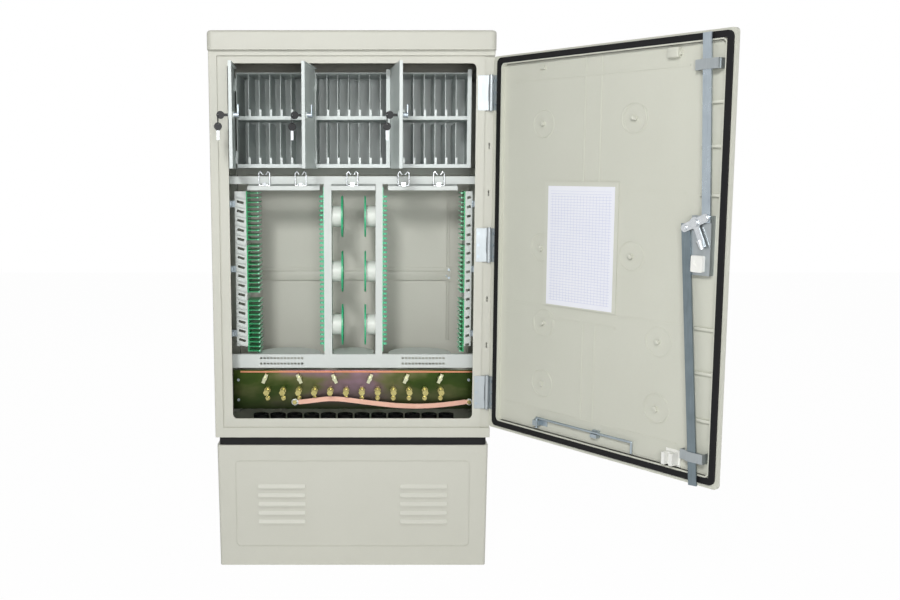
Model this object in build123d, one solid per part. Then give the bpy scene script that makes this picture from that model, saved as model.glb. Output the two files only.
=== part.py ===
from build123d import *
from math import atan2, ceil, cos, degrees, radians, sin, sqrt
import os

# A fibre cross-connection cabinet that stands beside the road, drawn with its door open.
# Every piece is drawn with y measured back from the front of the body and z up from
# the foot, then moved so that the origin is the middle of the foot.

# Overall
WIDTH = 750.0
DEPTH = 320.0
BASE_HEIGHT = 342.0
SEAL_HEIGHT = 23.0
BODY_HEIGHT = 1035.0
CAP_HEIGHT = 50.0
SEAL_TOP = BASE_HEIGHT + SEAL_HEIGHT
BODY_TOP = SEAL_TOP + BODY_HEIGHT
CAP_TOP = BODY_TOP + CAP_HEIGHT
HALF = WIDTH / 2
WALL = 5.0
FLOOR_T = 6.0
FLOOR_TOP = SEAL_TOP + FLOOR_T
PANEL_FLANGE = 20.0
RUNNING = 0.05
GAP = 0.3

# Base
BASE_INSET = 3.5
BASE_DRAFT = 3.5
BASE_CORNER = 8.0
FOOT_FLANGE = 68.0
TOP_FLANGE = 42.0
ANCHOR_X = 640.0
ANCHOR_Y = 220.0
ANCHOR_HOLE_R = 7.0
BASE_LINE_X = 322.0
BASE_LINE_LOW = 54.0
BASE_LINE_HIGH = 299.0
BASE_LINE_R = 13.0
LINE_W = 2.2
LINE_DEEP = 1.4
LOUVRE_X = 195.5
LOUVRE_W = 129.0
LOUVRE_H = 12.5
LOUVRE_PITCH = 25.2
LOUVRE_LOW = 117.8
LOUVRE_ROWS = 5
LOUVRE_OUT = 4.5
LOUVRE_SKIN = 1.6
SEAL_INSET = 9.0
SEAL_W = 14.0

# Front frame that the door shuts on
RETURN_DEPTH = 30.0
STRIP_T = 8.0
LAND_FACE = 2.0
LAND_T = 4.0
OPEN_X = 326.0
OPEN_LOW = 417.0
OPEN_HIGH = 1366.6
OPEN_R = 12.0
GROOVE_X = 349.0
GROOVE_W = 4.0
GROOVE_DEEP = 5.0
GROOVE_LOW = 391.3
GROOVE_HIGH = 1386.3
SILL_STEP = 403.3
SILL_DROP = 1.5
CHANNEL_FLOOR = 10.0
CHANNEL_T = 5.0
VENT_Z = (619.0, 745.0, 1029.0, 1153.0)
VENT_W = 4.0
VENT_H = 16.0

# Cap
CAP_OVER = 2.0
CAP_FRONT = 12.0
CAP_CORNER = 14.0
CAP_EDGE = 9.0

# Main hinges
AXIS_X = 365.3
AXIS_Y = 2.8
KNUCKLE_R = 6.5
PIN_R = 3.0
HINGE_LOWS = (445.5, 846.5, 1245.5)
HINGE_H = 90.0
DOOR_KNUCKLE_H = 42.0
KNUCKLE_END_GAP = 0.4
LEAF_T = 3.0
LEAF_FACE = 1.9
LEAF_X = 330.7
LEAF_CLEAR = 0.8
PIN_HEAD_R = 4.6
PIN_HEAD_H = 2.0

# Main door, measured along the door from the hinge and out from the hinge axis
DOOR_OPEN = 127.2
DOOR_NEAR = 3.0
DOOR_FAR = 716.8
DOOR_LOW = 396.0
DOOR_HIGH = 1383.5
RIM_FACE = 6.5
PANEL_FACE = 14.0
SKIN_FACE = 20.3
DOOR_EDGE = 5.0
SEAL_NEAR = 19.3
SEAL_FAR = 711.3
SEAL_LOW = 404.7
SEAL_HIGH = 1378.3
SEAL_WIDTH = 14.0
SEAL_FACE = 1.1
SEAL_BED = 9.5
SEAL_R = 14.0
RIM_LIP = 3.5
DOOR_LEAF_FACE = 4.0
DOOR_LEAF_FAR = 17.0
BOSS_R = 35.0
BOSS_UP = 0.8
BOSS_PIN_R = 5.0
BOSS_PIN_UP = 7.0
BOSSES = (
    (156, 1206), (441, 1207), (157, 890), (441, 890),
    (167, 701), (525, 701), (168, 543), (525, 542),
)
BAND_UP = 1.0
BAND_W = 5.0

# Lock and rods on the door
CRANK_U = 625.7
CRANK_Z = 976.7
EAR_R = 27.8
EAR_TILT = 24.4
CRANK_FACE = -11.0
CRANK_T = 3.0
ROD_W = 21.0
ROD_T = 4.0
ROD_BACK = -3.6
ROD_TOP_U = 635.5
ROD_TOP_Z = 1377.5
ROD_FOOT_U = 644.5
ROD_FOOT_Z = 397.0
ROD_PIN_R = 3.0
SLOT_CLEAR = 0.3
SLOT_REACH = 7.0
SPINDLE_R = 5.0
STEM_LENGTH = 57.0
BRACKET_U = (613.0, 662.0)
BRACKET_Z = (864.0, 993.0)
BRACKET_FACE = -3.0
BRACKET_T = 2.4
GUIDE_U = (606.0, 669.0)
GUIDE_ZS = (461.0, 1312.0)
GUIDE_H = 22.0
GUIDE_T = 2.2
HANDLE_LENGTH = 118.0
HANDLE_W = 17.0
HANDLE_T = 11.0
HUB_R = 15.0

# Door furniture
POCKET_U = (168.0, 400.0)
POCKET_Z = (745.0, 1062.0)
SHEET_W = 210.0
SHEET_H = 297.0
SHEET_U = 284.6
SHEET_Z = 902.5
PAPER_T = 0.4
STAY_R = 3.0
STAY_U = 164.0
STAY_Z = 455.0
STAY_REACH = 303.0
STAY_AXIS_T = 3.0
CATCH_U = (558.0, 597.0)
CATCH_Z = (424.0, 462.0)

# Small fibre compartments
BOX_SPANS = ((-313.5, -100.5), (-99.9, 102.5), (106.5, 322.0))
BOX_FRONT = 85.0
BOX_BACK = 270.0
BOX_LOW = 1096.0
BOX_HIGH = 1350.0
BOX_SHEET = 1.5
BOX_LIP = 10.0
BOX_FLANGE = 11.0
MID_SHELF_Z = 1226.0
MID_SHELF_FRONT = 105.0
DIVIDER_COUNT = 6
DIVIDER_FIRST = 30.0
DIVIDER_PITCH = 29.0
DIVIDER_T = 1.0
DIVIDER_FRONT = 88.0
DIVIDER_CAM_FRONT = 107.0
DIVIDER_H = 120.0
DIVIDER_TAB_W = 6.0
DIVIDER_TAB_H = 26.0

# Compartment doors: hinge line, width, and how far each stands open
SMALL_DOORS = ((-314.5, 207.0, 86.6), (-98.3, 194.0, 96.5), (108.1, 207.0, 85.2))
SMALL_AXIS_Y = 80.0
SMALL_LOW = 1094.0
SMALL_HIGH = 1361.0
SMALL_SKIN = 1.2
SMALL_FACE = 4.2
SMALL_RETURN = 8.2
SMALL_KNUCKLE_R = 2.6
SMALL_PIN_R = 1.3
SMALL_LUG_H = 18.0
SMALL_LUG_LOWS = (1122.0, 1316.0)
LOCK_Z = 1228.0
CAM_LENGTH = 26.0
CAM_W = 12.0
CAM_T = 2.4
CAM_Y = 97.0
CAM_WALL_GAP = 1.3
BARREL_R = 9.0
PLUG_R = 6.5
COLLAR_R = 11.0
KEY_OUT = 20.0
KEY_R = 10.0
KEY_T = 2.6
RING_R = 11.0
RING_WIRE = 0.8

# Inner frame
POST_X = 340.0
POST_W = 20.0
POST_FRONT = 70.0
POST_DEPTH = 30.0
POST_BACK = 270.0
POST_TOP = 1362.0
POST_WALL = 2.0
TIE_H = 20.0
TIE_ZS = (600.0, 1076.0, 1342.0)

# Cable rail, rings and trays
RAIL_Z = (1052.0, 1073.0)
RAIL_DEPTH = 20.0
RAIL_T = 1.6
RING_XS = (-240.0, -141.0, -0.4, 139.0, 235.0)
RING_W = 32.6
RING_Z = (1047.0, 1087.5)
RING_Y = 75.0
RING_ROD = 1.6
TRAY_SPANS = ((-286.0, -90.0), (-57.6, 62.0), (97.0, 286.0))
TRAY_Z = 1035.4
TRAY_LIP = 11.6
TRAY_FRONT = 70.0
TRAY_BACK = 100.0
TRAY_T = 1.2

# Side management
SLOT_LEFT_X = (-323.0, -292.0)
SLOT_RIGHT_X = (309.0, 328.0)
SLOT_PANEL_Z = (604.0, 1032.0)
SLOT_PITCH = 25.5
SLOT_T = 2.0
FIN_T = 2.0
FIN_OUT = 7.0
FIN_TILT = 16.0
GUIDE_GROUPS = ((587.0, 731.0), (753.0, 883.0), (898.0, 1033.0))
GUIDE_LEFT_X = (-292.0, -258.0)
GUIDE_RIGHT_X = (309.0, 297.0)
GUIDE_BACK = 170.0
GUIDE_FRONT = 88.0
GUIDE_WALL = 3.0
RIB_T = 2.0
CLAMP_ZS = (640.0, 819.0, 998.0)

# Centre posts, clips and spools
CENTRE_LEFT_X = (-79.0, -58.0)
CENTRE_RIGHT_X = (63.0, 82.0)
CENTRE_DEPTH = 80.0
CENTRE_T = 2.0
CLIP_R = 6.5
CLIP_WALL = 1.8
CLIP_H = 5.0
SPOOL_Y = 130.0
SPOOL_ZS = (658.0, 808.5, 962.0)
HUB_OUTER_R = 29.0
HUB_LENGTH = 26.4
HUB_WALL = 2.5
FLANGE_R = 57.5
FLANGE_T = 4.5

# Lower shelf
SHELF_Z = (542.0, 580.0)
SHELF_T = 1.5
TONGUES = ((-270.0, -90.0), (-55.0, 55.0), (100.0, 275.0))
TONGUE_END = 120.0
TONGUE_MID = 200.0
SHELF_SLOTS = ((-259.0, -132.0), (136.0, 260.0))
SHELF_SLOT_ROWS = (551.0, 566.5)
SHELF_SLOT_W = 6.0
SHELF_SLOT_H = 5.5
SHELF_SLOT_PITCH = 9.5

# Earthing
PLATE_Y = 88.0
PLATE_T = 3.0
PLATE_X = 335.0
PLATE_Z = (424.0, 535.0)
BAR_Z = 528.5
BAR_H = 4.2
BAR_T = 4.0
BAR_X = (-315.0, 334.0)
STUD_XS = (-245.5, -149.5, -51.3, 47.2, 148.2, 243.1)
STUD_TILTS = (24.0, -24.0, -24.0, 24.0, 24.0, 24.0)
STUD_Z = 513.0
EARTH_COUNT = 12
EARTH_X0 = -238.9
EARTH_PITCH = 43.98
EARTH_Z = 480.0
EARTH_LOW_Z = 455.7
EARTH_OUT = 48.0
LEAD_Y = 64.0
LEAD_T = 3.5
LEAD_W = 13.0
LEAD_LUG = (-162.0, 449.0)
LEAD_END = (324.0, 449.0)
PLATE_SCREWS = ((-321.0, 507.0), (-321.0, 450.0), (324.0, 507.0), (324.0, 449.0))
STANDOFF = 9.0

# Cable entries and the back wall
GROMMET_COUNT = 12
GROMMET_PITCH = 49.0
GROMMET_Y = 190.0
GROMMET_R = 22.0
GROMMET_NECK_R = 16.0
GROMMET_BORE_R = 11.0
GROMMET_UP = 14.0
BACK_BAND_Z = (765.0, 801.0)
BACK_BAND_X = 277.0

# Screws
SCREW_HEAD_R = 3.8
SCREW_HEAD_H = 2.4
SCREW_R = 2.0
SCREW_LENGTH = 5.0
SCREW_CLEAR = 0.15
FLUSH_DEEP = 1.8


def block(x0, x1, y0, y1, z0, z1):
    """A box between limits on each axis."""
    size = (abs(x1 - x0), abs(y1 - y0), abs(z1 - z0))
    return Pos((x0 + x1) / 2, (y0 + y1) / 2, (z0 + z1) / 2) * Box(*size)


def rod_z(x, y, r, z0, z1):
    """A cylinder standing up."""
    return Pos(x, y, (z0 + z1) / 2) * Cylinder(r, z1 - z0)


def rod_y(x, z, r, y0, y1):
    """A cylinder lying front to back."""
    return Pos(x, (y0 + y1) / 2, z) * Rot(90, 0, 0) * Cylinder(r, abs(y1 - y0))


def rod_x(y, z, r, x0, x1):
    """A cylinder lying left to right."""
    return Pos((x0 + x1) / 2, y, z) * Rot(0, 90, 0) * Cylinder(r, abs(x1 - x0))


def hex_y(x, z, across, y0, y1):
    """A hexagon nut or head lying front to back."""
    outline = RegularPolygon(across / sqrt(3), 6)
    return Pos(x, max(y0, y1), z) * Rot(90, 0, 0) * extrude(outline, abs(y1 - y0))


def slab_y(x0, x1, z0, z1, r, y0, y1):
    """A plate facing the front, with round corners."""
    outline = RectangleRounded(abs(x1 - x0), abs(z1 - z0), r)
    place = Pos((x0 + x1) / 2, max(y0, y1), (z0 + z1) / 2) * Rot(90, 0, 0)
    return place * extrude(outline, abs(y1 - y0))


def tube_block(x0, x1, y0, y1, z0, z1, t):
    """A square tube standing up."""
    outer = block(x0, x1, y0, y1, z0, z1)
    return outer - block(x0 + t, x1 - t, y0 + t, y1 - t, z0 - 1, z1 + 1)


def joined(shapes):
    """Fuse touching shapes into one solid."""
    shapes = list(shapes)
    return shapes[0].fuse(*shapes[1:]) if len(shapes) > 1 else shapes[0]


def group(shapes):
    """Separate solids of one piece kind."""
    solids = []
    for shape in shapes:
        solids.extend(shape.solids())
    return Compound(children=solids)


def base_louvre(x, low):
    """One hood over a vent slot: the solid to add and the space to cut."""
    x0 = x - LOUVRE_W / 2
    front = BASE_INSET
    out = front - LOUVRE_OUT
    skin = LOUVRE_SKIN
    side = Polyline(
        (0, low), (0, low + LOUVRE_H), (-LOUVRE_OUT, low + LOUVRE_H / 3), (-LOUVRE_OUT, low), close=True
    )
    section = Plane(origin=(x0, front, 0), x_dir=(0, 1, 0), z_dir=(1, 0, 0))
    solid = extrude(section * make_face(side), LOUVRE_W)
    space = block(x0 + skin, x0 + LOUVRE_W - skin, out + skin, front + WALL + 1, low - 1, low + LOUVRE_H * 0.42)
    return solid, space


def base_plinth():
    foot = HALF - BASE_INSET - BASE_DRAFT
    top = HALF - BASE_INSET
    depth = DEPTH - 2 * BASE_INSET
    side = make_face(Polyline((-foot, 0), (foot, 0), (top, BASE_HEIGHT), (-top, BASE_HEIGHT), close=True))
    shell = Pos(0, BASE_INSET + depth, 0) * Rot(90, 0, 0) * extrude(side, depth)
    upright = [e for e in shell.edges() if abs(e.tangent_at(0.5).Z) > 0.9]
    shell = fillet(upright, BASE_CORNER)
    foot_in = foot - WALL
    top_in = top - WALL
    hollow = make_face(
        Polyline((-foot_in, 0), (foot_in, 0), (top_in, BASE_HEIGHT), (-top_in, BASE_HEIGHT), close=True)
    )
    inner = extrude(hollow, depth - 2 * WALL)
    shell -= Pos(0, BASE_INSET + depth - WALL, 0) * Rot(90, 0, 0) * inner
    shell += base_flange(0, FOOT_FLANGE, foot_in)
    shell += base_flange(BASE_HEIGHT - WALL, TOP_FLANGE, top_in - 0.1)
    shell -= base_line()
    hoods, spaces = [], []
    for sx in (-LOUVRE_X, LOUVRE_X):
        for row in range(LOUVRE_ROWS):
            hood, space = base_louvre(sx, LOUVRE_LOW + row * LOUVRE_PITCH)
            hoods.append(hood)
            spaces.append(space)
    shell = shell.fuse(*hoods).cut(*spaces)
    holes = [
        rod_z(sx * ANCHOR_X / 2, DEPTH / 2 + sy * ANCHOR_Y / 2, ANCHOR_HOLE_R, -1, WALL + 1)
        for sx in (-1, 1)
        for sy in (-1, 1)
    ]
    return shell.cut(*holes)


def base_flange(z, width, half):
    """A flat ring turned inward from the base wall."""
    near = BASE_INSET + WALL - 0.5
    plate = block(-half - 0.5, half + 0.5, near, DEPTH - near, z, z + WALL)
    hole = block(-half + width, half - width, near + width, DEPTH - near - width, z - 1, z + WALL + 1)
    return plate - hole


def base_line():
    """The pressed outline on the front of the base."""
    outer = slab_y(
        -BASE_LINE_X, BASE_LINE_X, BASE_LINE_LOW, BASE_LINE_HIGH, BASE_LINE_R,
        BASE_INSET - 1, BASE_INSET + LINE_DEEP,
    )
    inner = slab_y(
        -BASE_LINE_X + LINE_W, BASE_LINE_X - LINE_W, BASE_LINE_LOW + LINE_W, BASE_LINE_HIGH - LINE_W,
        BASE_LINE_R - LINE_W, BASE_INSET - 2, BASE_INSET + LINE_DEEP + 1,
    )
    return outer - inner


def base_seal():
    half = HALF - SEAL_INSET
    depth = DEPTH - 2 * SEAL_INSET
    ring = RectangleRounded(2 * half, depth, 10) - RectangleRounded(2 * (half - SEAL_W), depth - 2 * SEAL_W, 4)
    return Pos(0, DEPTH / 2, BASE_HEIGHT) * extrude(ring, SEAL_HEIGHT)


def floor_panel():
    plate = block(-HALF + WALL, HALF - WALL, RETURN_DEPTH, DEPTH - WALL, SEAL_TOP, FLOOR_TOP)
    holes = [rod_z(x, GROMMET_Y, GROMMET_NECK_R, SEAL_TOP - 1, FLOOR_TOP + 1) for x in grommet_xs()]
    return plate.cut(*holes)


def grommet_xs():
    first = -GROMMET_PITCH * (GROMMET_COUNT - 1) / 2
    return [first + GROMMET_PITCH * i for i in range(GROMMET_COUNT)]


def entry_grommets():
    rings = []
    for x in grommet_xs():
        ring = rod_z(x, GROMMET_Y, GROMMET_R, FLOOR_TOP, FLOOR_TOP + GROMMET_UP)
        ring += rod_z(x, GROMMET_Y, GROMMET_NECK_R, SEAL_TOP - 2, FLOOR_TOP)
        rings.append(ring - rod_z(x, GROMMET_Y, GROMMET_BORE_R, SEAL_TOP - 3, FLOOR_TOP + GROMMET_UP + 1))
    return group(rings)


def frame_ring(x, low, high, r, width, y0, y1):
    """A rectangular ring facing the front."""
    outer = slab_y(-x, x, low, high, r, y0, y1)
    inner = slab_y(-x + width, x - width, low + width, high - width, max(r - width, 1), y0 - 1, y1 + 1)
    return outer - inner


def door_frame():
    frame = block(-HALF, HALF, 0, RETURN_DEPTH, SEAL_TOP, BODY_TOP)
    frame -= block(-HALF + WALL, HALF - WALL, STRIP_T, RETURN_DEPTH + 1, FLOOR_TOP, BODY_TOP - WALL)
    land_back = LAND_FACE + LAND_T
    groove_in = GROOVE_X
    low_in = GROOVE_LOW + GROOVE_W
    high_in = GROOVE_HIGH - GROOVE_W
    frame -= block(-groove_in, groove_in, -1, LAND_FACE, low_in, high_in)
    frame -= block(-groove_in, groove_in, land_back, STRIP_T + 1, low_in, high_in)
    frame -= slab_y(-OPEN_X, OPEN_X, OPEN_LOW, OPEN_HIGH, OPEN_R, -1, STRIP_T + 1)
    frame -= block(-groove_in, groove_in, -1, LAND_FACE + SILL_DROP, low_in, SILL_STEP)
    frame -= frame_ring(GROOVE_X + GROOVE_W, GROOVE_LOW, GROOVE_HIGH, 3, GROOVE_W, -1, GROOVE_DEEP)
    corner = HALF - WALL
    upright = [e for e in frame.edges().filter_by(Axis.Z) if e.center().Y < 0.1 and abs(e.center().X) > corner]
    frame = fillet(upright, 3)
    frame -= block(GROOVE_X, HALF + 1, -1, CHANNEL_FLOOR, GROOVE_LOW, GROOVE_HIGH)
    frame += block(GROOVE_X - WALL, HALF, CHANNEL_FLOOR, CHANNEL_FLOOR + CHANNEL_T, GROOVE_LOW, GROOVE_HIGH)
    wall_low = GROOVE_LOW - WALL
    wall_high = GROOVE_HIGH + WALL
    frame += block(GROOVE_X - WALL, GROOVE_X, LAND_FACE, CHANNEL_FLOOR + 1, low_in, high_in)
    frame += block(GROOVE_X - WALL, HALF, STRIP_T - 1, CHANNEL_FLOOR + CHANNEL_T, wall_low, GROOVE_LOW)
    frame += block(GROOVE_X - WALL, HALF, STRIP_T - 1, CHANNEL_FLOOR + CHANNEL_T, GROOVE_HIGH, wall_high)
    pockets = []
    for low in HINGE_LOWS:
        pocket_low = low - GAP
        pocket_high = low + HINGE_H + GAP
        pockets.append(
            block(LEAF_X - GAP, GROOVE_X + 1, LEAF_FACE - 1, LEAF_FACE + LEAF_T, pocket_low, pocket_high)
        )
        for z in leaf_screw_zs(low):
            pockets.append(rod_y(leaf_screw_x(), z, SCREW_R + SCREW_CLEAR, 0, STRIP_T + 2))
    vents = [
        slab_y(HALF - 14, HALF - 14 + VENT_W, z - VENT_H / 2, z + VENT_H / 2, 1.8, -1, CHANNEL_FLOOR + WALL + 1)
        for z in VENT_Z
    ]
    frame = frame.cut(*pockets, *vents)
    sides = [panel_lip(side, RETURN_DEPTH - LAND_T) for side in (-1, 1)]
    return frame.fuse(*sides)


def panel_lip(side, y):
    """An inward lip that a neighbouring shell panel bolts to."""
    x = side * (HALF - WALL + 0.5)
    return block(x, side * (HALF - PANEL_FLANGE), y, y + LAND_T, FLOOR_TOP + 1, BODY_TOP - WALL - 1)


def leaf_screw_x():
    return LEAF_X + 6.5


def leaf_screw_zs(low):
    return [low + HINGE_H * share for share in (0.16, 0.5, 0.84)]


def side_panel(side):
    outer = side * HALF
    inner = side * (HALF - WALL)
    plate = block(inner, outer, RETURN_DEPTH, DEPTH - WALL, SEAL_TOP, BODY_TOP)
    rear_lip = DEPTH - WALL - LAND_T
    plate += panel_lip(side, RETURN_DEPTH)
    plate += panel_lip(side, rear_lip)
    ribs = [
        block(inner, side * (HALF - WALL - 5), RETURN_DEPTH + 10, rear_lip - 6, z, z + 6)
        for z in (560.0, 880.0, 1200.0)
    ]
    return plate.fuse(*ribs)


def rear_panel():
    inner = DEPTH - WALL
    plate = block(-HALF, HALF, inner, DEPTH, SEAL_TOP, BODY_TOP)
    plate += block(-BACK_BAND_X, BACK_BAND_X, inner - 3, inner, *BACK_BAND_Z)
    ends = [
        block(sx * BACK_BAND_X, sx * (BACK_BAND_X + 13), inner - 5, inner, BACK_BAND_Z[0] - 4, BACK_BAND_Z[1] + 4)
        for sx in (-1, 1)
    ]
    plate = plate.fuse(*ends)
    line = block(-279, -277, inner - 1, inner + 0.8, BACK_BAND_Z[1] + 6, BODY_TOP - 60)
    line_low = block(-279, -277, inner - 1, inner + 0.8, FLOOR_TOP + 30, BACK_BAND_Z[0] - 6)
    screws = [rod_y(x, z, SCREW_R + SCREW_CLEAR, inner - 6, inner + 1) for x, z in back_screws()]
    return plate.cut(line, line_low, *screws)


def back_screws():
    middle = sum(BACK_BAND_Z) / 2
    return [(sx * (BACK_BAND_X + 6.5), middle + dz) for sx in (-1, 1) for dz in (-12, 12)]


def roof_cap():
    half = HALF + CAP_OVER
    back = DEPTH + CAP_OVER
    middle = (back - CAP_FRONT) / 2
    outline = RectangleRounded(2 * half, back + CAP_FRONT, CAP_CORNER)
    cap = Pos(0, middle, BODY_TOP) * extrude(outline, CAP_HEIGHT)
    cap = fillet(cap.edges().group_by(Axis.Z)[-1], CAP_EDGE)
    inside = RectangleRounded(2 * (half - WALL), back + CAP_FRONT - 2 * WALL, CAP_CORNER - WALL)
    hollow = extrude(inside, CAP_HEIGHT - 2 * WALL)
    cap -= Pos(0, middle, BODY_TOP + WALL) * hollow
    opening = Rectangle(2 * (HALF - 40), DEPTH - 80)
    return cap - Pos(0, DEPTH / 2, BODY_TOP - 1) * extrude(opening, WALL + 2)


def frame_hinge_leaves():
    """Leaves screwed to the frame, each with its pin held in the end knuckles."""
    solids = []
    for low in HINGE_LOWS:
        high = low + HINGE_H
        end = (HINGE_H - DOOR_KNUCKLE_H) / 2 - KNUCKLE_END_GAP
        leaf = block(LEAF_X, AXIS_X - KNUCKLE_R - LEAF_CLEAR, LEAF_FACE, LEAF_FACE + LEAF_T, low, high)
        for z0, z1 in ((low, low + end), (high - end, high)):
            leaf += block(LEAF_X + 8, AXIS_X, LEAF_FACE, LEAF_FACE + LEAF_T, z0, z1)
            leaf += rod_z(AXIS_X, AXIS_Y, KNUCKLE_R, z0, z1)
        leaf -= rod_z(AXIS_X, AXIS_Y, PIN_R + RUNNING, low - 1, high + 1)
        for z in leaf_screw_zs(low):
            leaf -= flush_screw(leaf_screw_x(), z, LEAF_FACE, SCREW_CLEAR)
        pin = rod_z(AXIS_X, AXIS_Y, PIN_R, low, high)
        pin += rod_z(AXIS_X, AXIS_Y, PIN_HEAD_R, high, high + PIN_HEAD_H)
        pin += rod_z(AXIS_X, AXIS_Y, PIN_HEAD_R, low - PIN_HEAD_H, low)
        solids.extend([leaf, pin])
    return group(solids)


def equipment_frame():
    """The welded frame of square tube that carries everything inside."""
    parts = []
    for side in (-1, 1):
        x0, x1 = sorted((side * POST_X, side * (POST_X + POST_W)))
        for y in (POST_FRONT, POST_BACK):
            parts.append(tube_block(x0, x1, y, y + POST_DEPTH, FLOOR_TOP, POST_TOP, POST_WALL))
        for z in TIE_ZS:
            parts.append(block(x0, x1, POST_FRONT + POST_DEPTH - 0.5, POST_BACK + 0.5, z, z + TIE_H))
        tab_x = sorted((side * (POST_X - 32), side * (POST_X + POST_W)))
        tab_y = PLATE_Y + PLATE_T + STANDOFF
        parts.append(block(*tab_x, tab_y, tab_y + 3, PLATE_Z[0] + 14, PLATE_Z[1] - 14))
    bar_y = BOX_BACK
    for z in TIE_ZS[1:]:
        parts.append(block(-POST_X - 0.5, POST_X + 0.5, bar_y, bar_y + POST_WALL * 4, z, z + TIE_H))
    frame = joined(parts)
    tab_y = PLATE_Y + PLATE_T + STANDOFF
    holes = [rod_y(x, z, SCREW_R + SCREW_CLEAR, tab_y - 1, tab_y + 4) for x, z in PLATE_SCREWS]
    return frame.cut(*holes)


def small_axis(index):
    return SMALL_DOORS[index][0]


def compartment_box(index):
    x0, x1 = BOX_SPANS[index]
    t = BOX_SHEET
    box = block(x0, x1, BOX_FRONT, BOX_BACK, BOX_LOW, BOX_HIGH)
    box -= block(x0 + t, x1 - t, BOX_FRONT - 1, BOX_BACK - t, BOX_LOW + t, BOX_HIGH - t)
    parts = [
        block(x0 + t, x1 - t, MID_SHELF_FRONT, BOX_BACK - t, MID_SHELF_Z, MID_SHELF_Z + t),
        block(x0 + t, x1 - t, MID_SHELF_FRONT, MID_SHELF_FRONT + t, MID_SHELF_Z, MID_SHELF_Z + BOX_LIP),
        block(x0, x1, BOX_FRONT, BOX_FRONT + t, BOX_LOW, BOX_LOW + BOX_LIP),
        block(x1 - BOX_FLANGE, x1, BOX_FRONT, BOX_FRONT + t, BOX_LOW, BOX_HIGH + 9),
    ]
    axis = small_axis(index)
    for low in SMALL_LUG_LOWS:
        lug_x = (min(axis, x0), max(axis, x0) + SMALL_KNUCKLE_R)
        lug = block(*lug_x, SMALL_AXIS_Y, BOX_FRONT + 1, low, low + SMALL_LUG_H)
        lug += rod_z(axis, SMALL_AXIS_Y, SMALL_KNUCKLE_R, low, low + SMALL_LUG_H)
        parts.append(lug)
    box = box.fuse(*parts)
    bores = [
        rod_z(axis, SMALL_AXIS_Y, SMALL_PIN_R + RUNNING, low - 1, low + SMALL_LUG_H + 1)
        for low in SMALL_LUG_LOWS
    ]
    return box.cut(*bores)


def slot_dividers():
    """Six dividers in each row. The last one stands back from the lock cam."""
    solids = []
    t = BOX_SHEET
    for x0, x1 in BOX_SPANS:
        for row_low, row_front in ((BOX_LOW + t, DIVIDER_FRONT), (MID_SHELF_Z + t, MID_SHELF_FRONT + t)):
            for i in range(DIVIDER_COUNT):
                x = x0 + DIVIDER_FIRST + DIVIDER_PITCH * i
                front = DIVIDER_CAM_FRONT if i == DIVIDER_COUNT - 1 else row_front
                plate = block(x, x + DIVIDER_T, front, BOX_BACK - t, row_low, row_low + DIVIDER_H)
                plate += block(x, x + DIVIDER_TAB_W, front, front + DIVIDER_T, row_low, row_low + DIVIDER_TAB_H)
                solids.append(plate)
    return group(solids)


def cable_rail():
    y1 = BOX_FRONT + RAIL_DEPTH
    rail = block(-POST_X, POST_X, BOX_FRONT, y1, *RAIL_Z)
    inner = block(-POST_X - 1, POST_X + 1, BOX_FRONT + RAIL_T, y1 + 1, RAIL_Z[0] + RAIL_T, RAIL_Z[1] - RAIL_T)
    return rail - inner


def cable_rings():
    solids = []
    z0, z1 = RING_Z
    half = RING_W / 2 - RING_ROD
    low = z0 + RING_ROD
    high = z1 - RING_ROD
    points = [
        (-4, high - 9), (-10, high), (-half, high - 4), (-half, low), (half, low), (half, high - 4),
        (10, high), (4, high - 9),
    ]
    for x in RING_XS:
        path = Polyline(*[(x + px, RING_Y, pz) for px, pz in points])
        start = Plane(origin=path @ 0, z_dir=path % 0)
        wire = sweep(start * Circle(RING_ROD), path=path, transition=Transition.ROUND)
        saddle = block(x - 5, x + 5, RING_Y - 2.4, BOX_FRONT, z0 - 1.2, RAIL_Z[0] + 4)
        solids.append(wire + saddle)
    return group(solids)


def cable_trays():
    solids = []
    t = TRAY_T
    for x0, x1 in TRAY_SPANS:
        tray = block(x0, x1, TRAY_FRONT, TRAY_BACK, TRAY_Z, TRAY_Z + t)
        tray += block(x0, x1, TRAY_FRONT, TRAY_FRONT + t, TRAY_Z, TRAY_Z + TRAY_LIP)
        tray += block(x0, x1, TRAY_BACK - t, TRAY_BACK, TRAY_Z, RAIL_Z[0])
        solids.append(tray)
    return group(solids)


def slot_zs():
    low, high = SLOT_PANEL_Z
    count = int((high - low - 20) // SLOT_PITCH) + 1
    return [high - 16.5 - SLOT_PITCH * i for i in range(count)]


def clip_zs():
    """Heights of the clips, one at each slot and one halfway to the next."""
    slots = slot_zs()
    return slots + [z - SLOT_PITCH / 2 for z in slots[:-1]]


def slotted_panel_left():
    x0, x1 = SLOT_LEFT_X
    z0, z1 = SLOT_PANEL_Z
    t = SLOT_T
    panel = block(x0, x1, BOX_FRONT, BOX_FRONT + t, z0, z1)
    panel += block(x1 - t, x1, BOX_FRONT, GUIDE_BACK, z0, z1)
    panel += block(x0, x0 + t, BOX_FRONT, BOX_FRONT + 16, z0, z1)
    fins = [
        Pos((x0 + x1) / 2, BOX_FRONT - FIN_OUT / 2 + 0.5, z) * Rot(0, FIN_TILT, 0)
        * Box(x1 - x0 - 4, FIN_OUT + 1, FIN_T)
        for z in slot_zs()
    ]
    slots = [
        Pos((x0 + x1) / 2, BOX_FRONT + 1, z - SLOT_PITCH / 2) * Rot(0, FIN_TILT, 0)
        * Box(x1 - x0 - 12, 8, 7)
        for z in slot_zs()
    ]
    return panel.fuse(*fins).cut(*slots)


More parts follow.
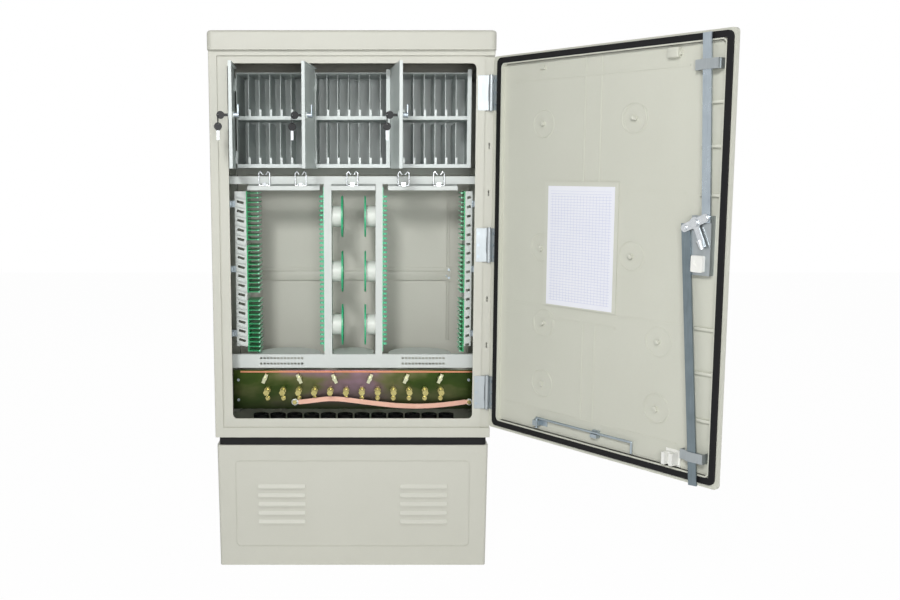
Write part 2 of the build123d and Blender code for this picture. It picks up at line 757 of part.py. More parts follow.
def slotted_panel_right():
    x0, x1 = SLOT_RIGHT_X
    z0, z1 = SLOT_PANEL_Z
    t = SLOT_T
    panel = block(x0, x1, BOX_FRONT, BOX_FRONT + t, z0, z1)
    panel += block(x0, x0 + t, BOX_FRONT, GUIDE_BACK, z0, z1)
    panel += block(x1 - t, x1, BOX_FRONT, BOX_FRONT + 16, z0, z1)
    slots = [
        Pos((x0 + x1) / 2, BOX_FRONT + 1, z) * Rot(0, -FIN_TILT, 0) * Box(x1 - x0 - 8, 8, 7)
        for z in slot_zs()
    ]
    return panel.cut(*slots)


def cable_clamps():
    """Saddles that tie each slotted panel to the post beside it."""
    solids = []
    for z in CLAMP_ZS:
        for side in (-1, 1):
            panel_x = SLOT_LEFT_X[0] if side < 0 else SLOT_RIGHT_X[1]
            post_x = side * POST_X
            x0, x1 = sorted((panel_x - side * 1.8, post_x))
            clamp = block(x0, x1, BOX_FRONT - 2.5, BOX_FRONT, z - 9, z + 9)
            x2, x3 = sorted((post_x - side * 3, post_x))
            clamp += block(x2, x3, BOX_FRONT - 14, BOX_FRONT, z - 9, z + 9)
            middle = post_x - side * 6.5
            loop = rod_z(middle, BOX_FRONT - 6, 5.5, z - 6, z + 6) - rod_z(middle, BOX_FRONT - 6, 3.5, z - 7, z + 7)
            solids.append(clamp + loop)
    return group(solids)


def fibre_guide(x_wall, x_tip, low, high):
    """One comb of ribs on a backing wall that runs front to back."""
    side = 1 if x_tip > x_wall else -1
    wall = block(x_wall, x_wall + side * GUIDE_WALL, GUIDE_FRONT, GUIDE_BACK, low, high)
    pitch = SLOT_PITCH / 2
    count = int((high - low - RIB_T) // pitch) + 1
    ribs = []
    for i in range(count):
        z = low + 1 + pitch * i
        ribs.append(block(x_wall + side, x_tip - side * RIB_T, GUIDE_FRONT, GUIDE_BACK, z, z + RIB_T))
        ribs.append(rod_y(x_tip - side * RIB_T, z + RIB_T / 2, RIB_T, GUIDE_FRONT, GUIDE_BACK))
    return wall.fuse(*ribs)


def fibre_guides():
    solids = []
    for low, high in GUIDE_GROUPS:
        solids.append(fibre_guide(*GUIDE_LEFT_X, low, high))
        solids.append(fibre_guide(*GUIDE_RIGHT_X, low, high))
    return group(solids)


def centre_post(x0, x1, z0, z1):
    post = block(x0, x1, BOX_FRONT, BOX_FRONT + CENTRE_DEPTH, z0, z1)
    t = CENTRE_T
    return post - block(x0 + t, x1 - t, BOX_FRONT + t, BOX_FRONT + CENTRE_DEPTH + 1, z0 + t, z1 - t)


def centre_posts():
    z0 = SHELF_Z[1]
    z1 = RAIL_Z[0]
    return group([centre_post(*CENTRE_LEFT_X, z0, z1), centre_post(*CENTRE_RIGHT_X, z0, z1)])


def clip_combs():
    """Strips of open clips on the outer side of each centre post."""
    solids = []
    for side, wall in ((-1, CENTRE_LEFT_X[0]), (1, CENTRE_RIGHT_X[1])):
        y = BOX_FRONT + CLIP_R + 1
        z0, z1 = SLOT_PANEL_Z
        x0, x1 = sorted((wall, wall + side * CLIP_WALL))
        comb = block(x0, x1, BOX_FRONT, BOX_FRONT + 18, z0 - 14, z1 + 12)
        clips = []
        for z in clip_zs():
            x = wall + side * CLIP_R
            ring = rod_z(x, y, CLIP_R, z, z + CLIP_H) - rod_z(x, y, CLIP_R - CLIP_WALL, z - 1, z + CLIP_H + 1)
            mouth = block(x + side * 2, x + side * CLIP_R * 2, y - 2.5, y + 2.5, z - 1, z + CLIP_H + 1)
            clips.append(ring - mouth)
        solids.append(comb.fuse(*clips))
    return group(solids)


def spool_sides():
    """For each post: the inward direction and the face that the spools stand on."""
    return ((1, CENTRE_LEFT_X[1]), (-1, CENTRE_RIGHT_X[0]))


def spool_hubs():
    solids = []
    for side, face in spool_sides():
        for z in SPOOL_ZS:
            end = face + side * HUB_LENGTH
            hub = rod_x(SPOOL_Y, z, HUB_OUTER_R, face, end)
            hub -= rod_x(SPOOL_Y, z, HUB_OUTER_R - HUB_WALL, face + side * HUB_WALL, end + side)
            hub += rod_x(SPOOL_Y, z, 5, face, end)
            solids.append(hub)
    return group(solids)


def spool_flanges():
    solids = []
    for side, face in spool_sides():
        for z in SPOOL_ZS:
            start = face + side * HUB_LENGTH
            end = start + side * FLANGE_T
            disc = rod_x(SPOOL_Y, z, FLANGE_R, start, end)
            disc -= rod_x(SPOOL_Y, z, FLANGE_R - 5, start + side * 2.5, end + side)
            disc += rod_x(SPOOL_Y, z, HUB_OUTER_R, start, end)
            disc -= rod_x(SPOOL_Y, z, HUB_OUTER_R - 4, start + side * 2.5, end + side)
            solids.append(disc)
    return group(solids)


def shelf_tongue(x0, x1):
    """A deck tongue whose rear edge bows backward."""
    middle = (x0 + x1) / 2
    edge = [
        Line((x0, BOX_FRONT), (x1, BOX_FRONT)),
        Line((x1, BOX_FRONT), (x1, TONGUE_END)),
        ThreePointArc((x1, TONGUE_END), (middle, TONGUE_MID), (x0, TONGUE_END)),
        Line((x0, TONGUE_END), (x0, BOX_FRONT)),
    ]
    return Pos(0, 0, SHELF_Z[1] - SHELF_T) * extrude(make_face(edge), SHELF_T)


def lower_shelf():
    z0, z1 = SHELF_Z
    shelf = block(-POST_X, POST_X, BOX_FRONT, BOX_FRONT + SHELF_T, z0, z1)
    shelf += block(-POST_X, POST_X, BOX_FRONT, TONGUE_END - 20, z1 - SHELF_T, z1)
    shelf += block(-POST_X, POST_X, BOX_FRONT, BOX_FRONT + 12, z0, z0 + SHELF_T)
    shelf = shelf.fuse(*[shelf_tongue(*span) for span in TONGUES])
    slots = []
    for x0, x1 in SHELF_SLOTS:
        for z in SHELF_SLOT_ROWS:
            for i in range(int((x1 - x0) // SHELF_SLOT_PITCH)):
                x = x0 + SHELF_SLOT_PITCH * i
                slots.append(block(x, x + SHELF_SLOT_W, BOX_FRONT - 1, BOX_FRONT + SHELF_T + 1, z, z + SHELF_SLOT_H))
    return shelf.cut(*slots)


def ground_plate():
    plate = block(-PLATE_X, PLATE_X, PLATE_Y, PLATE_Y + PLATE_T, *PLATE_Z)
    return plate.cut(*[rod_y(x, z, SCREW_R + SCREW_CLEAR, PLATE_Y - 1, PLATE_Y + PLATE_T + 1) for x, z in PLATE_SCREWS])


def ground_insulators():
    solids = []
    y0 = PLATE_Y + PLATE_T
    for x, z in PLATE_SCREWS:
        solids.append(rod_y(x, z, 9, y0, y0 + STANDOFF) - rod_y(x, z, SCREW_R + SCREW_CLEAR, y0 - 1, y0 + STANDOFF + 1))
    return group(solids)


def copper_bar():
    return block(*BAR_X, PLATE_Y - BAR_T, PLATE_Y, BAR_Z, BAR_Z + BAR_H)


def clamp_studs():
    """Slanted cable clamps, each held by its own stud and nut."""
    solids = []
    for x, tilt in zip(STUD_XS, STUD_TILTS):
        stud = rod_y(x, STUD_Z, 3.5, PLATE_Y, PLATE_Y - 26)
        stud += hex_y(x, STUD_Z, 11, PLATE_Y - 5, PLATE_Y)
        stud += hex_y(x, STUD_Z, 11, PLATE_Y - 22, PLATE_Y - 17)
        plate = Pos(x, PLATE_Y - 15.5, STUD_Z) * Rot(0, tilt, 0) * Box(9, 3.5, 27)
        hook = Pos(x, PLATE_Y - 11.5, STUD_Z) * Rot(0, tilt, 0) * Pos(0, 0, 12) * Box(9, 9, 3)
        solids.append(stud.fuse(plate, hook))
    return group(solids)


def earth_studs():
    """Earth bolts in a row, with a short terminal screw under each."""
    solids = []
    for i in range(EARTH_COUNT):
        x = EARTH_X0 + EARTH_PITCH * i
        stud = rod_y(x, EARTH_Z, 4, PLATE_Y, PLATE_Y - EARTH_OUT + 6)
        stud += hex_y(x, EARTH_Z, 15, PLATE_Y - 7, PLATE_Y)
        stud += rod_y(x, EARTH_Z, 8.5, PLATE_Y - 15, PLATE_Y - 13)
        stud += hex_y(x, EARTH_Z, 15, PLATE_Y - EARTH_OUT, PLATE_Y - EARTH_OUT + 7)
        low = rod_y(x, EARTH_LOW_Z, 4.5, PLATE_Y, PLATE_Y - 14)
        low += rod_y(x, EARTH_LOW_Z, 6.5, PLATE_Y - 3, PLATE_Y)
        solids.extend([stud, low])
    for x, z in (LEAD_LUG, LEAD_END):
        post = rod_y(x, z, 4, PLATE_Y if x < 0 else PLATE_Y - SCREW_HEAD_H, LEAD_Y - 6)
        back = LEAD_Y + LEAD_T
        post += hex_y(x, z, 11, back, back + 6)
        post += hex_y(x, z, 11, LEAD_Y - 5, LEAD_Y)
        solids.append(post)
    return group(solids)


def earth_lead():
    """Flat braid from its lug on the plate to the end stud, sagging on the way."""
    lug_x, lug_z = LEAD_LUG
    end_x, end_z = LEAD_END
    middle = [
        (lug_x + 12, lug_z), (-120, 452), (-64, 458), (0, 453), (90, 442), (174, 437), (250, 441),
        (end_x - 12, end_z),
    ]
    half = LEAD_W / 2
    top = Spline(*[(x, z + half) for x, z in middle])
    low = Spline(*[(x, z - half) for x, z in middle])
    outline = make_face([top, low, Line(top @ 0, low @ 0), Line(top @ 1, low @ 1)])
    place = Pos(0, LEAD_Y + LEAD_T, 0) * Rot(90, 0, 0)
    strap = place * extrude(outline, LEAD_T)
    for x, z, reach in ((lug_x, lug_z, 14), (end_x, end_z, -14)):
        strap += rod_y(x, z, 9, LEAD_Y, LEAD_Y + LEAD_T)
        strap += block(*sorted((x, x + reach)), LEAD_Y, LEAD_Y + LEAD_T, z - 5.5, z + 5.5)
    for x, z in (LEAD_LUG, LEAD_END):
        strap -= rod_y(x, z, 4 + SCREW_CLEAR, LEAD_Y - 1, LEAD_Y + LEAD_T + 1)
    return strap


def screw_y(x, z, face, direction, length=SCREW_LENGTH):
    """A pan-head screw seated on a face; direction is where its head stands."""
    head = rod_y(x, z, SCREW_HEAD_R, face, face + direction * SCREW_HEAD_H)
    return head + rod_y(x, z, SCREW_R, face, face - direction * length)


def flush_screw(x, z, face, grow=0.0):
    """A countersunk screw whose head lies level with a face, or the hole that takes it."""
    head_place = Pos(x, face + FLUSH_DEEP / 2, z) * Rot(90, 0, 0)
    head = head_place * Cone(SCREW_R + grow, SCREW_HEAD_R + grow, FLUSH_DEEP)
    return head + rod_y(x, z, SCREW_R + grow, face, face + SCREW_LENGTH + 10 * grow)


def fixing_screws():
    solids = []
    for low in HINGE_LOWS:
        for z in leaf_screw_zs(low):
            solids.append(flush_screw(leaf_screw_x(), z, LEAF_FACE))
    for x, z in PLATE_SCREWS:
        solids.append(screw_y(x, z, PLATE_Y, -1, PLATE_T + STANDOFF + 3))
    for x, z in back_screws():
        solids.append(screw_y(x, z, DEPTH - WALL - 5, -1))
    return group(solids)


def closed(s0, s1, t0, t1, z0, z1):
    """A box on the shut main door: s from the hinge, t out from the hinge axis."""
    return block(AXIS_X - s1, AXIS_X - s0, AXIS_Y - t1, AXIS_Y - t0, z0, z1)


def closed_rod(s, z, r, t0, t1):
    """A cylinder through the thickness of the shut main door."""
    return rod_y(AXIS_X - s, z, r, AXIS_Y - t1, AXIS_Y - t0)


def closed_slab(s0, s1, z0, z1, r, t0, t1):
    return slab_y(AXIS_X - s1, AXIS_X - s0, z0, z1, r, AXIS_Y - t1, AXIS_Y - t0)


def swing_main(shape, angle=DOOR_OPEN):
    """Turn a piece of the shut door about the hinge to where it stands open."""
    return Pos(AXIS_X, AXIS_Y, 0) * Rot(0, 0, angle) * Pos(-AXIS_X, -AXIS_Y, 0) * shape


def along(u):
    """Distance from the hinge for a distance from the seal's near edge."""
    return SEAL_NEAR + u


def door_seal(grow=0.0):
    outer = closed_slab(SEAL_NEAR, SEAL_FAR, SEAL_LOW, SEAL_HIGH, SEAL_R, SEAL_FACE, SEAL_BED + grow)
    inner = closed_slab(
        SEAL_NEAR + SEAL_WIDTH, SEAL_FAR - SEAL_WIDTH, SEAL_LOW + SEAL_WIDTH, SEAL_HIGH - SEAL_WIDTH,
        4, SEAL_FACE - 1, SEAL_BED + grow + 1,
    )
    return outer - inner


def door_shell():
    slab = closed_slab(DOOR_NEAR, DOOR_FAR, DOOR_LOW, DOOR_HIGH, 9, RIM_FACE, SKIN_FACE)
    outer_edges = slab.edges().group_by(Axis.Y)[0]
    slab = fillet(outer_edges, DOOR_EDGE)
    edge = SEAL_WIDTH + RIM_LIP
    low = SEAL_LOW + edge
    high = SEAL_HIGH - edge
    near = SEAL_NEAR + edge
    far = SEAL_FAR - edge
    slab -= closed_slab(near, far, low, high, 6, RIM_FACE - 1, PANEL_FACE)
    slab -= door_seal()
    raised = []
    for u, z in BOSSES:
        ring = closed_rod(along(u), z, BOSS_R, PANEL_FACE - BOSS_UP, PANEL_FACE + 1)
        ring -= closed_rod(along(u), z, BOSS_R - 2, PANEL_FACE - BOSS_UP - 1, PANEL_FACE)
        raised.append(ring + closed_rod(along(u), z, BOSS_PIN_R, PANEL_FACE - BOSS_PIN_UP, PANEL_FACE + 1))
    face = (PANEL_FACE - BAND_UP, PANEL_FACE + 1)
    bands = [
        (285, 285 + BAND_W, 1062, high), (334, 334 + BAND_W, 1062, high), (295, 295 + BAND_W, 472, 716),
        (333, 333 + BAND_W, 472, 716), (33, 583, 1313, 1313 + BAND_W), (33, 583, 1039, 1039 + BAND_W),
        (33, 583, 743, 743 + BAND_W), (33, 400, 714, 714 + BAND_W), (33, 583, 472, 472 + BAND_W),
    ]
    for u0, u1, z0, z1 in bands:
        raised.append(closed(along(u0), along(u1), *face, z0, z1))
    raised.append(closed(along(599), far + 1, PANEL_FACE - 1.6, PANEL_FACE + 1, low - 1, high + 1))
    for u, z in ((151.7, 1342.7), (553.6, 1342.6)):
        raised.append(closed(along(u - 8), along(u + 8), PANEL_FACE - 6, PANEL_FACE + 1, z - 4, z + 4))
    slab = slab.fuse(*raised)
    bore = closed_rod(along(CRANK_U), CRANK_Z, SPINDLE_R + RUNNING, RIM_FACE - 8, SKIN_FACE + 1)
    holes = [bore]
    for low_z in HINGE_LOWS:
        for z in leaf_screw_zs(low_z):
            holes.append(closed_rod(door_screw_s(), z, SCREW_R + SCREW_CLEAR, RIM_FACE - 1, RIM_FACE + 5))
    return slab.cut(*holes)


def door_screw_s():
    return DOOR_LEAF_FAR - 4.6


def door_gasket():
    return door_seal()


def door_hinge_leaves():
    solids = []
    for low in HINGE_LOWS:
        high = low + HINGE_H
        k0 = low + (HINGE_H - DOOR_KNUCKLE_H) / 2
        k1 = k0 + DOOR_KNUCKLE_H
        start = sqrt(KNUCKLE_R ** 2 - DOOR_LEAF_FACE ** 2) + LEAF_CLEAR
        leaf = closed(start, DOOR_LEAF_FAR, DOOR_LEAF_FACE, RIM_FACE, low, high)
        leaf += closed(0, start + 1, DOOR_LEAF_FACE, RIM_FACE, k0, k1)
        leaf += rod_z(AXIS_X, AXIS_Y, KNUCKLE_R, k0, k1)
        leaf -= rod_z(AXIS_X, AXIS_Y, PIN_R + RUNNING, low - 1, high + 1)
        for z in leaf_screw_zs(low):
            leaf -= closed_rod(door_screw_s(), z, SCREW_R + SCREW_CLEAR, DOOR_LEAF_FACE - 1, RIM_FACE + 1)
        solids.append(leaf)
    return group(solids)


def door_plane(u, z, t):
    """A sketch plane on the shut door, looking at its inner side."""
    origin = (AXIS_X - along(u), AXIS_Y - t, z)
    return Plane(origin=origin, x_dir=(-1, 0, 0), z_dir=(0, 1, 0))


def ear(side):
    """Rest position of a crank ear: side is 1 for the upper rod and -1 for the lower."""
    reach = side * EAR_R
    return CRANK_U + reach * cos(radians(EAR_TILT)), CRANK_Z + reach * sin(radians(EAR_TILT))


def rod_run(side):
    """Pin and far end of a rod in the plane of the door."""
    pin = ear(side)
    end = (ROD_TOP_U, ROD_TOP_Z) if side > 0 else (ROD_FOOT_U, ROD_FOOT_Z)
    return pin, end


def rod_centre(side, z):
    (u0, z0), (u1, z1) = rod_run(side)
    return u0 + (u1 - u0) * (z - z0) / (z1 - z0)


def lock_rod(side):
    """A flat locking rod with a cross slot for its crank pin."""
    (u0, z0), (u1, z1) = rod_run(side)
    length = sqrt((u1 - u0) ** 2 + (z1 - z0) ** 2)
    tilt = -degrees(atan2(u1 - u0, abs(z1 - z0))) * side
    over = ROD_W / 2
    outline = Pos(0, side * (length - over) / 2) * Rectangle(ROD_W, length + over)
    outline = Rot(0, 0, tilt) * outline
    pin_height = 2 * (ROD_PIN_R + SLOT_CLEAR)
    outline -= SlotOverall(pin_height + SLOT_REACH - SLOT_CLEAR, pin_height)
    return extrude(door_plane(u0, z0, ROD_BACK) * outline, ROD_T)


def rod_upper():
    return lock_rod(1)


def rod_lower():
    return lock_rod(-1)


def lock_crank():
    back = CRANK_FACE + CRANK_T
    plane = door_plane(CRANK_U, CRANK_Z, back)
    bar = SlotCenterToCenter(2 * EAR_R, 18)
    stem = Pos(0, -STEM_LENGTH / 2) * Rectangle(13, STEM_LENGTH)
    outline = Rot(0, 0, EAR_TILT) * (bar + stem + Circle(13))
    crank = extrude(plane * outline, CRANK_T)
    knob = Pos(0, -STEM_LENGTH + 6, 9) * Rot(90, 0, 0) * Cone(7.5, 4.5, 20)
    crank += plane * Rot(0, 0, EAR_TILT) * knob
    hub = closed_rod(along(CRANK_U), CRANK_Z, 9, CRANK_FACE - 4, CRANK_FACE + 1)
    spindle = closed_rod(along(CRANK_U), CRANK_Z, SPINDLE_R, CRANK_FACE, SKIN_FACE + 8)
    pins = []
    for side in (-1, 1):
        u, z = ear(side)
        pins.append(closed_rod(along(u), z, ROD_PIN_R, CRANK_FACE - 1, ROD_BACK + 0.1))
        pins.append(closed_rod(along(u), z, 6, CRANK_FACE - 2.5, CRANK_FACE))
    return crank.fuse(hub, spindle, *pins)


def door_handle():
    """The lever on the outside, fixed on the spindle of the crank."""
    near = SKIN_FACE + 0.4
    s = along(CRANK_U)
    hub = closed_rod(s, CRANK_Z, HUB_R, near, near + HANDLE_T + 2)
    low = CRANK_Z - HANDLE_LENGTH
    lever = closed_slab(s - HANDLE_W / 2, s + HANDLE_W / 2, low, CRANK_Z, 8, near + 5, near + HANDLE_T + 1)
    handle = hub + lever
    return handle - closed_rod(s, CRANK_Z, SPINDLE_R, near - 1, SKIN_FACE + 8)


def lock_bracket():
    u0, u1 = BRACKET_U
    z0, z1 = BRACKET_Z
    seat = PANEL_FACE - 1.6
    back = BRACKET_FACE + BRACKET_T
    plate = closed(along(u0), along(u1), BRACKET_FACE, back, z0, z1)
    plate += closed(along(u0), along(u0 + BRACKET_T), back - 1, seat, z0, z1)
    plate += closed(along(u1 - BRACKET_T), along(u1), back - 1, seat, z0, z1)
    return plate - closed_rod(along(CRANK_U), CRANK_Z, SPINDLE_R + RUNNING, BRACKET_FACE - 1, back + 1)


def lock_cover():
    box = closed(along(621), along(650), BRACKET_FACE - 10, BRACKET_FACE, 871, 907)
    box = fillet(box.edges().filter_by(Axis.Y), 3)
    return box - closed_rod(along(635.5), 889, 6, BRACKET_FACE - 11, BRACKET_FACE - 8)


def roller_offset():
    return ROD_W / 2 + 0.35 + 6.9


def rod_guides():
    solids = []
    u0, u1 = GUIDE_U
    shelf = ROD_BACK + 0.4
    strap = ROD_BACK - ROD_T - 0.4
    seat = PANEL_FACE - 1.6
    for side, z in zip((-1, 1), GUIDE_ZS):
        z0, z1 = z - GUIDE_H / 2, z + GUIDE_H / 2
        c = rod_centre(side, z)
        left = c - ROD_W / 2 - 1.4
        right = c + roller_offset() + 8.5
        guide = closed(along(u0), along(u1), shelf, shelf + GUIDE_T, z0, z1)
        parts = [
            closed(along(u0), along(u0 + GUIDE_T), shelf, seat, z0, z1),
            closed(along(u1 - GUIDE_T), along(u1), shelf, seat, z0, z1),
            closed(along(left - 3), along(right + 3), strap - GUIDE_T, strap, z0, z1),
            closed(along(left - 3), along(left), strap - 1, shelf + 1, z0, z1),
            closed(along(right), along(right + 3), strap - 1, shelf + 1, z0, z1),
            closed_rod(along(c + roller_offset()), z, 2, strap - 1, shelf + 1),
        ]
        solids.append(guide.fuse(*parts))
    return group(solids)


def guide_rollers():
    solids = []
    shelf = ROD_BACK + 0.4
    strap = ROD_BACK - ROD_T - 0.4
    for side, z in zip((-1, 1), GUIDE_ZS):
        s = along(rod_centre(side, z) + roller_offset())
        roller = closed_rod(s, z, 6.9, strap + 0.1, shelf - 0.1)
        solids.append(roller - closed_rod(s, z, 2 + RUNNING, strap - 1, shelf + 1))
    return group(solids)


def document_pocket():
    u0, u1 = along(POCKET_U[0]), along(POCKET_U[1])
    z0, z1 = POCKET_Z[0] + BAND_W, POCKET_Z[1]
    face = PANEL_FACE - 2.6
    seat = PANEL_FACE - BAND_UP - 0.1
    pocket = closed(u0, u1, face, face + 1, z0, z1)
    pocket += closed(u0, u0 + 1, face, seat, z0, z1)
    pocket += closed(u1 - 1, u1, face, seat, z0, z1)
    return pocket + closed(u0, u1, face, seat, z0, z0 + 1)


def chart_sheet():
    face = PANEL_FACE - 2.6
    s = along(SHEET_U)
    half_w = SHEET_W / 2
    half_h = SHEET_H / 2
    return closed(s - half_w, s + half_w, face - PAPER_T, face, SHEET_Z - half_h, SHEET_Z + half_h)


def door_point(u, t, z):
    return (AXIS_X - along(u), AXIS_Y - t, z)


def stay_rod():
    """Bent wire that swings out to prop the door."""
    t = STAY_AXIS_T
    end = STAY_U + STAY_REACH
    path = Polyline(
        door_point(STAY_U, t, STAY_Z - 24), door_point(STAY_U, t, STAY_Z),
        door_point(end, t, STAY_Z), door_point(end, t, STAY_Z - 27),
    )
    start = Plane(origin=path @ 0, z_dir=path % 0)
    rod = sweep(start * Circle(STAY_R), path=path, transition=Transition.ROUND)
    foot = Pos(*door_point(STAY_U, t, STAY_Z - 25)) * Cylinder(STAY_R + 2, 2)
    return rod + foot


def stay_brackets():
    t = STAY_AXIS_T
    seat = PANEL_FACE
    low = STAY_Z - 20
    high = STAY_Z - 6
    pivot = closed(along(STAY_U - 8), along(STAY_U + 8), t - 7, seat, low, high)
    pivot += closed(along(STAY_U - 17), along(STAY_U + 28), seat - 2, seat, low, high)
    x, y, _ = door_point(STAY_U, t, 0)
    pivot -= rod_z(x, y, STAY_R + RUNNING, low - 1, high + 1)
    rest_top = STAY_Z - STAY_R - 0.5
    rest = closed(along(345), along(364), t - 4, seat, rest_top - 9, rest_top)
    rest += closed(along(345), along(364), t + STAY_R + 0.5, seat, rest_top - 9, STAY_Z + 5)
    return group([pivot, rest])


def corner_catch():
    u0, u1 = along(CATCH_U[0]), along(CATCH_U[1])
    z0, z1 = CATCH_Z
    plate = closed(u0, u1, PANEL_FACE - 2, PANEL_FACE, z0, z1)
    block_part = closed(u0 + 5, u1 - 5, -12, PANEL_FACE - 2, z0 + 5, z1 - 5)
    block_part -= closed(u0 + 14, u1 - 14, -13, 0, z0, z1 + 1)
    return group([plate, block_part])


def door_screws():
    face = AXIS_Y - DOOR_LEAF_FACE
    x = AXIS_X - door_screw_s()
    return group([screw_y(x, z, face, 1) for low in HINGE_LOWS for z in leaf_screw_zs(low)])


def small(index, s0, s1, t0, t1, z0, z1):
    """A box on a shut compartment door."""
    axis = small_axis(index)
    return block(axis + s0, axis + s1, SMALL_AXIS_Y - t1, SMALL_AXIS_Y - t0, z0, z1)


def small_rod(index, s, z, r, t0, t1):
    return rod_y(small_axis(index) + s, z, r, SMALL_AXIS_Y - t1, SMALL_AXIS_Y - t0)


def swing_small(index, shape):
    """Turn a piece of a shut compartment door to where it stands open."""
    axis, _, angle = SMALL_DOORS[index]
    return Pos(axis, SMALL_AXIS_Y, 0) * Rot(0, 0, -angle) * Pos(-axis, -SMALL_AXIS_Y, 0) * shape


def lock_s(index):
    """Lock distance from the hinge: the cam tip just clears the compartment wall."""
    wall = BOX_SPANS[index][1] - BOX_SHEET
    return wall - CAM_WALL_GAP - CAM_LENGTH - small_axis(index)


def compartment_door(index):
    width = SMALL_DOORS[index][1]
    skin = SMALL_FACE - SMALL_SKIN
    back = SMALL_FACE - SMALL_RETURN
    t = SMALL_SKIN
    near = -2.0
    door = small(index, near, width, skin, SMALL_FACE, SMALL_LOW, SMALL_HIGH)
    parts = [
        small(index, near, width, back, SMALL_FACE, SMALL_HIGH - t, SMALL_HIGH),
        small(index, near, width, back, SMALL_FACE, SMALL_LOW, SMALL_LOW + t),
        small(index, width - t, width, back, SMALL_FACE, SMALL_LOW, SMALL_HIGH),
    ]
    axis = small_axis(index)
    r = SMALL_KNUCKLE_R
    for low in SMALL_LUG_LOWS:
        top = low - GAP
        parts.append(rod_z(axis, SMALL_AXIS_Y, r, top - 14, top))
        parts.append(small(index, -r / 2, r, 0, skin + 0.1, top - 14, top))
        parts.append(rod_z(axis, SMALL_AXIS_Y, SMALL_PIN_R, top - 14, low + SMALL_LUG_H + 0.5))
    door = door.fuse(*parts)
    s = lock_s(index)
    door -= small_rod(index, s, LOCK_Z, BARREL_R, skin - 1, SMALL_FACE + 1)
    barrel = small_rod(index, s, LOCK_Z, BARREL_R, skin - 10, SMALL_FACE)
    barrel += small_rod(index, s, LOCK_Z, COLLAR_R, SMALL_FACE, SMALL_FACE + 2)
    barrel -= small_rod(index, s, LOCK_Z, PLUG_R + RUNNING, skin - 11, SMALL_FACE + 3)
    return swing_small(index, group([door, barrel]))


def cam(index):
    """The lock plug and the cam at its back, pointing up when unlocked."""
    s = lock_s(index)
    face = SMALL_AXIS_Y - CAM_Y
    piece = small_rod(index, s, LOCK_Z, PLUG_R, face, SMALL_FACE + 2.2)
    half = CAM_W / 2
    piece += small(index, s - half, s + half, face - CAM_T, face, LOCK_Z, LOCK_Z + CAM_LENGTH)
    piece += small_rod(index, s, LOCK_Z, half + 2, face - CAM_T, face)
    return swing_small(index, piece)


def key_set(index):
    """The key in the lock, with a spare hanging from its ring."""
    s = lock_s(index)
    face = SMALL_FACE + 2.2
    half = KEY_T / 2
    x = small_axis(index) + s
    head_t = face + KEY_OUT
    hole_t = head_t + KEY_R - 3.4
    hole_y = SMALL_AXIS_Y - hole_t
    key = small(index, s - half, s + half, face, head_t - 5, LOCK_Z - 3.5, LOCK_Z + 3.5)
    key += rod_x(SMALL_AXIS_Y - head_t, LOCK_Z, KEY_R, x - half, x + half)
    key -= rod_x(hole_y, LOCK_Z, 1.4, x - half - 1, x + half + 1)
    ring = Pos(x, hole_y, LOCK_Z - RING_R) * Rot(90, 0, 0) * Torus(RING_R, RING_WIRE)
    low = LOCK_Z - 2 * RING_R
    head_z = low - KEY_R + 3.4
    spare = rod_x(hole_y, head_z, KEY_R, x - half, x + half)
    spare += block(x - half, x + half, hole_y - 3.5, hole_y + 3.5, head_z - KEY_R - 24, head_z)
    spare -= rod_x(hole_y, low, 1.4, x - half - 1, x + half + 1)
    return swing_small(index, group([key, ring, spare]))


def cabinet_nodes():
    return {
        "base_plinth": base_plinth(),
        "base_seal": base_seal(),
        "side_panel_left": side_panel(-1),
        "side_panel_right": side_panel(1),
        "rear_panel": rear_panel(),
        "floor_panel": floor_panel(),
        "door_frame": door_frame(),
        "roof_cap": roof_cap(),
        "frame_hinge_leaves": frame_hinge_leaves(),
        "equipment_frame": equipment_frame(),
        "compartment_box_left": compartment_box(0),
        "compartment_box_middle": compartment_box(1),
        "compartment_box_right": compartment_box(2),
        "slot_dividers": slot_dividers(),
        "cable_rail": cable_rail(),
        "cable_rings": cable_rings(),
        "cable_trays": cable_trays(),
        "slotted_panel_left": slotted_panel_left(),
        "slotted_panel_right": slotted_panel_right(),
        "cable_clamps": cable_clamps(),
        "fibre_guides": fibre_guides(),
        "centre_posts": centre_posts(),
        "clip_combs": clip_combs(),
        "spool_hubs": spool_hubs(),
        "spool_flanges": spool_flanges(),
        "lower_shelf": lower_shelf(),
        "ground_plate": ground_plate(),
        "ground_insulators": ground_insulators(),
        "copper_bar": copper_bar(),
        "clamp_studs": clamp_studs(),
        "earth_studs": earth_studs(),
        "earth_lead": earth_lead(),
        "fixing_screws": fixing_screws(),
        "entry_grommets": entry_grommets(),
    }


def main_door_nodes():
    shut = {
        "door_shell": door_shell(),
        "door_gasket": door_gasket(),
        "door_hinge_leaves": door_hinge_leaves(),
        "document_pocket": document_pocket(),
        "chart_sheet": chart_sheet(),
        "rod_guides": rod_guides(),
        "guide_rollers": guide_rollers(),
        "lock_bracket": lock_bracket(),
        "lock_cover": lock_cover(),
        "stay_brackets": stay_brackets(),
        "corner_catch": corner_catch(),
        "door_screws": door_screws(),
        "lock_crank": lock_crank(),
        "door_handle": door_handle(),
        "rod_upper": rod_upper(),
        "rod_lower": rod_lower(),
        "stay_rod": stay_rod(),
    }
    return {name: swing_main(shape) for name, shape in shut.items()}


def small_door_nodes():
    nodes = {}
    for index, name in enumerate(("left", "middle", "right")):
        nodes["compartment_door_" + name] = compartment_door(index)
        nodes["cam_" + name] = cam(index)
        nodes["key_" + name] = key_set(index)
    return nodes


def main():
    os.makedirs("parts", exist_ok=True)
    nodes = cabinet_nodes() | main_door_nodes() | small_door_nodes()
    for name, shape in nodes.items():
        export_step(Pos(0, -DEPTH / 2, 0) * shape, f"parts/{name}.step")


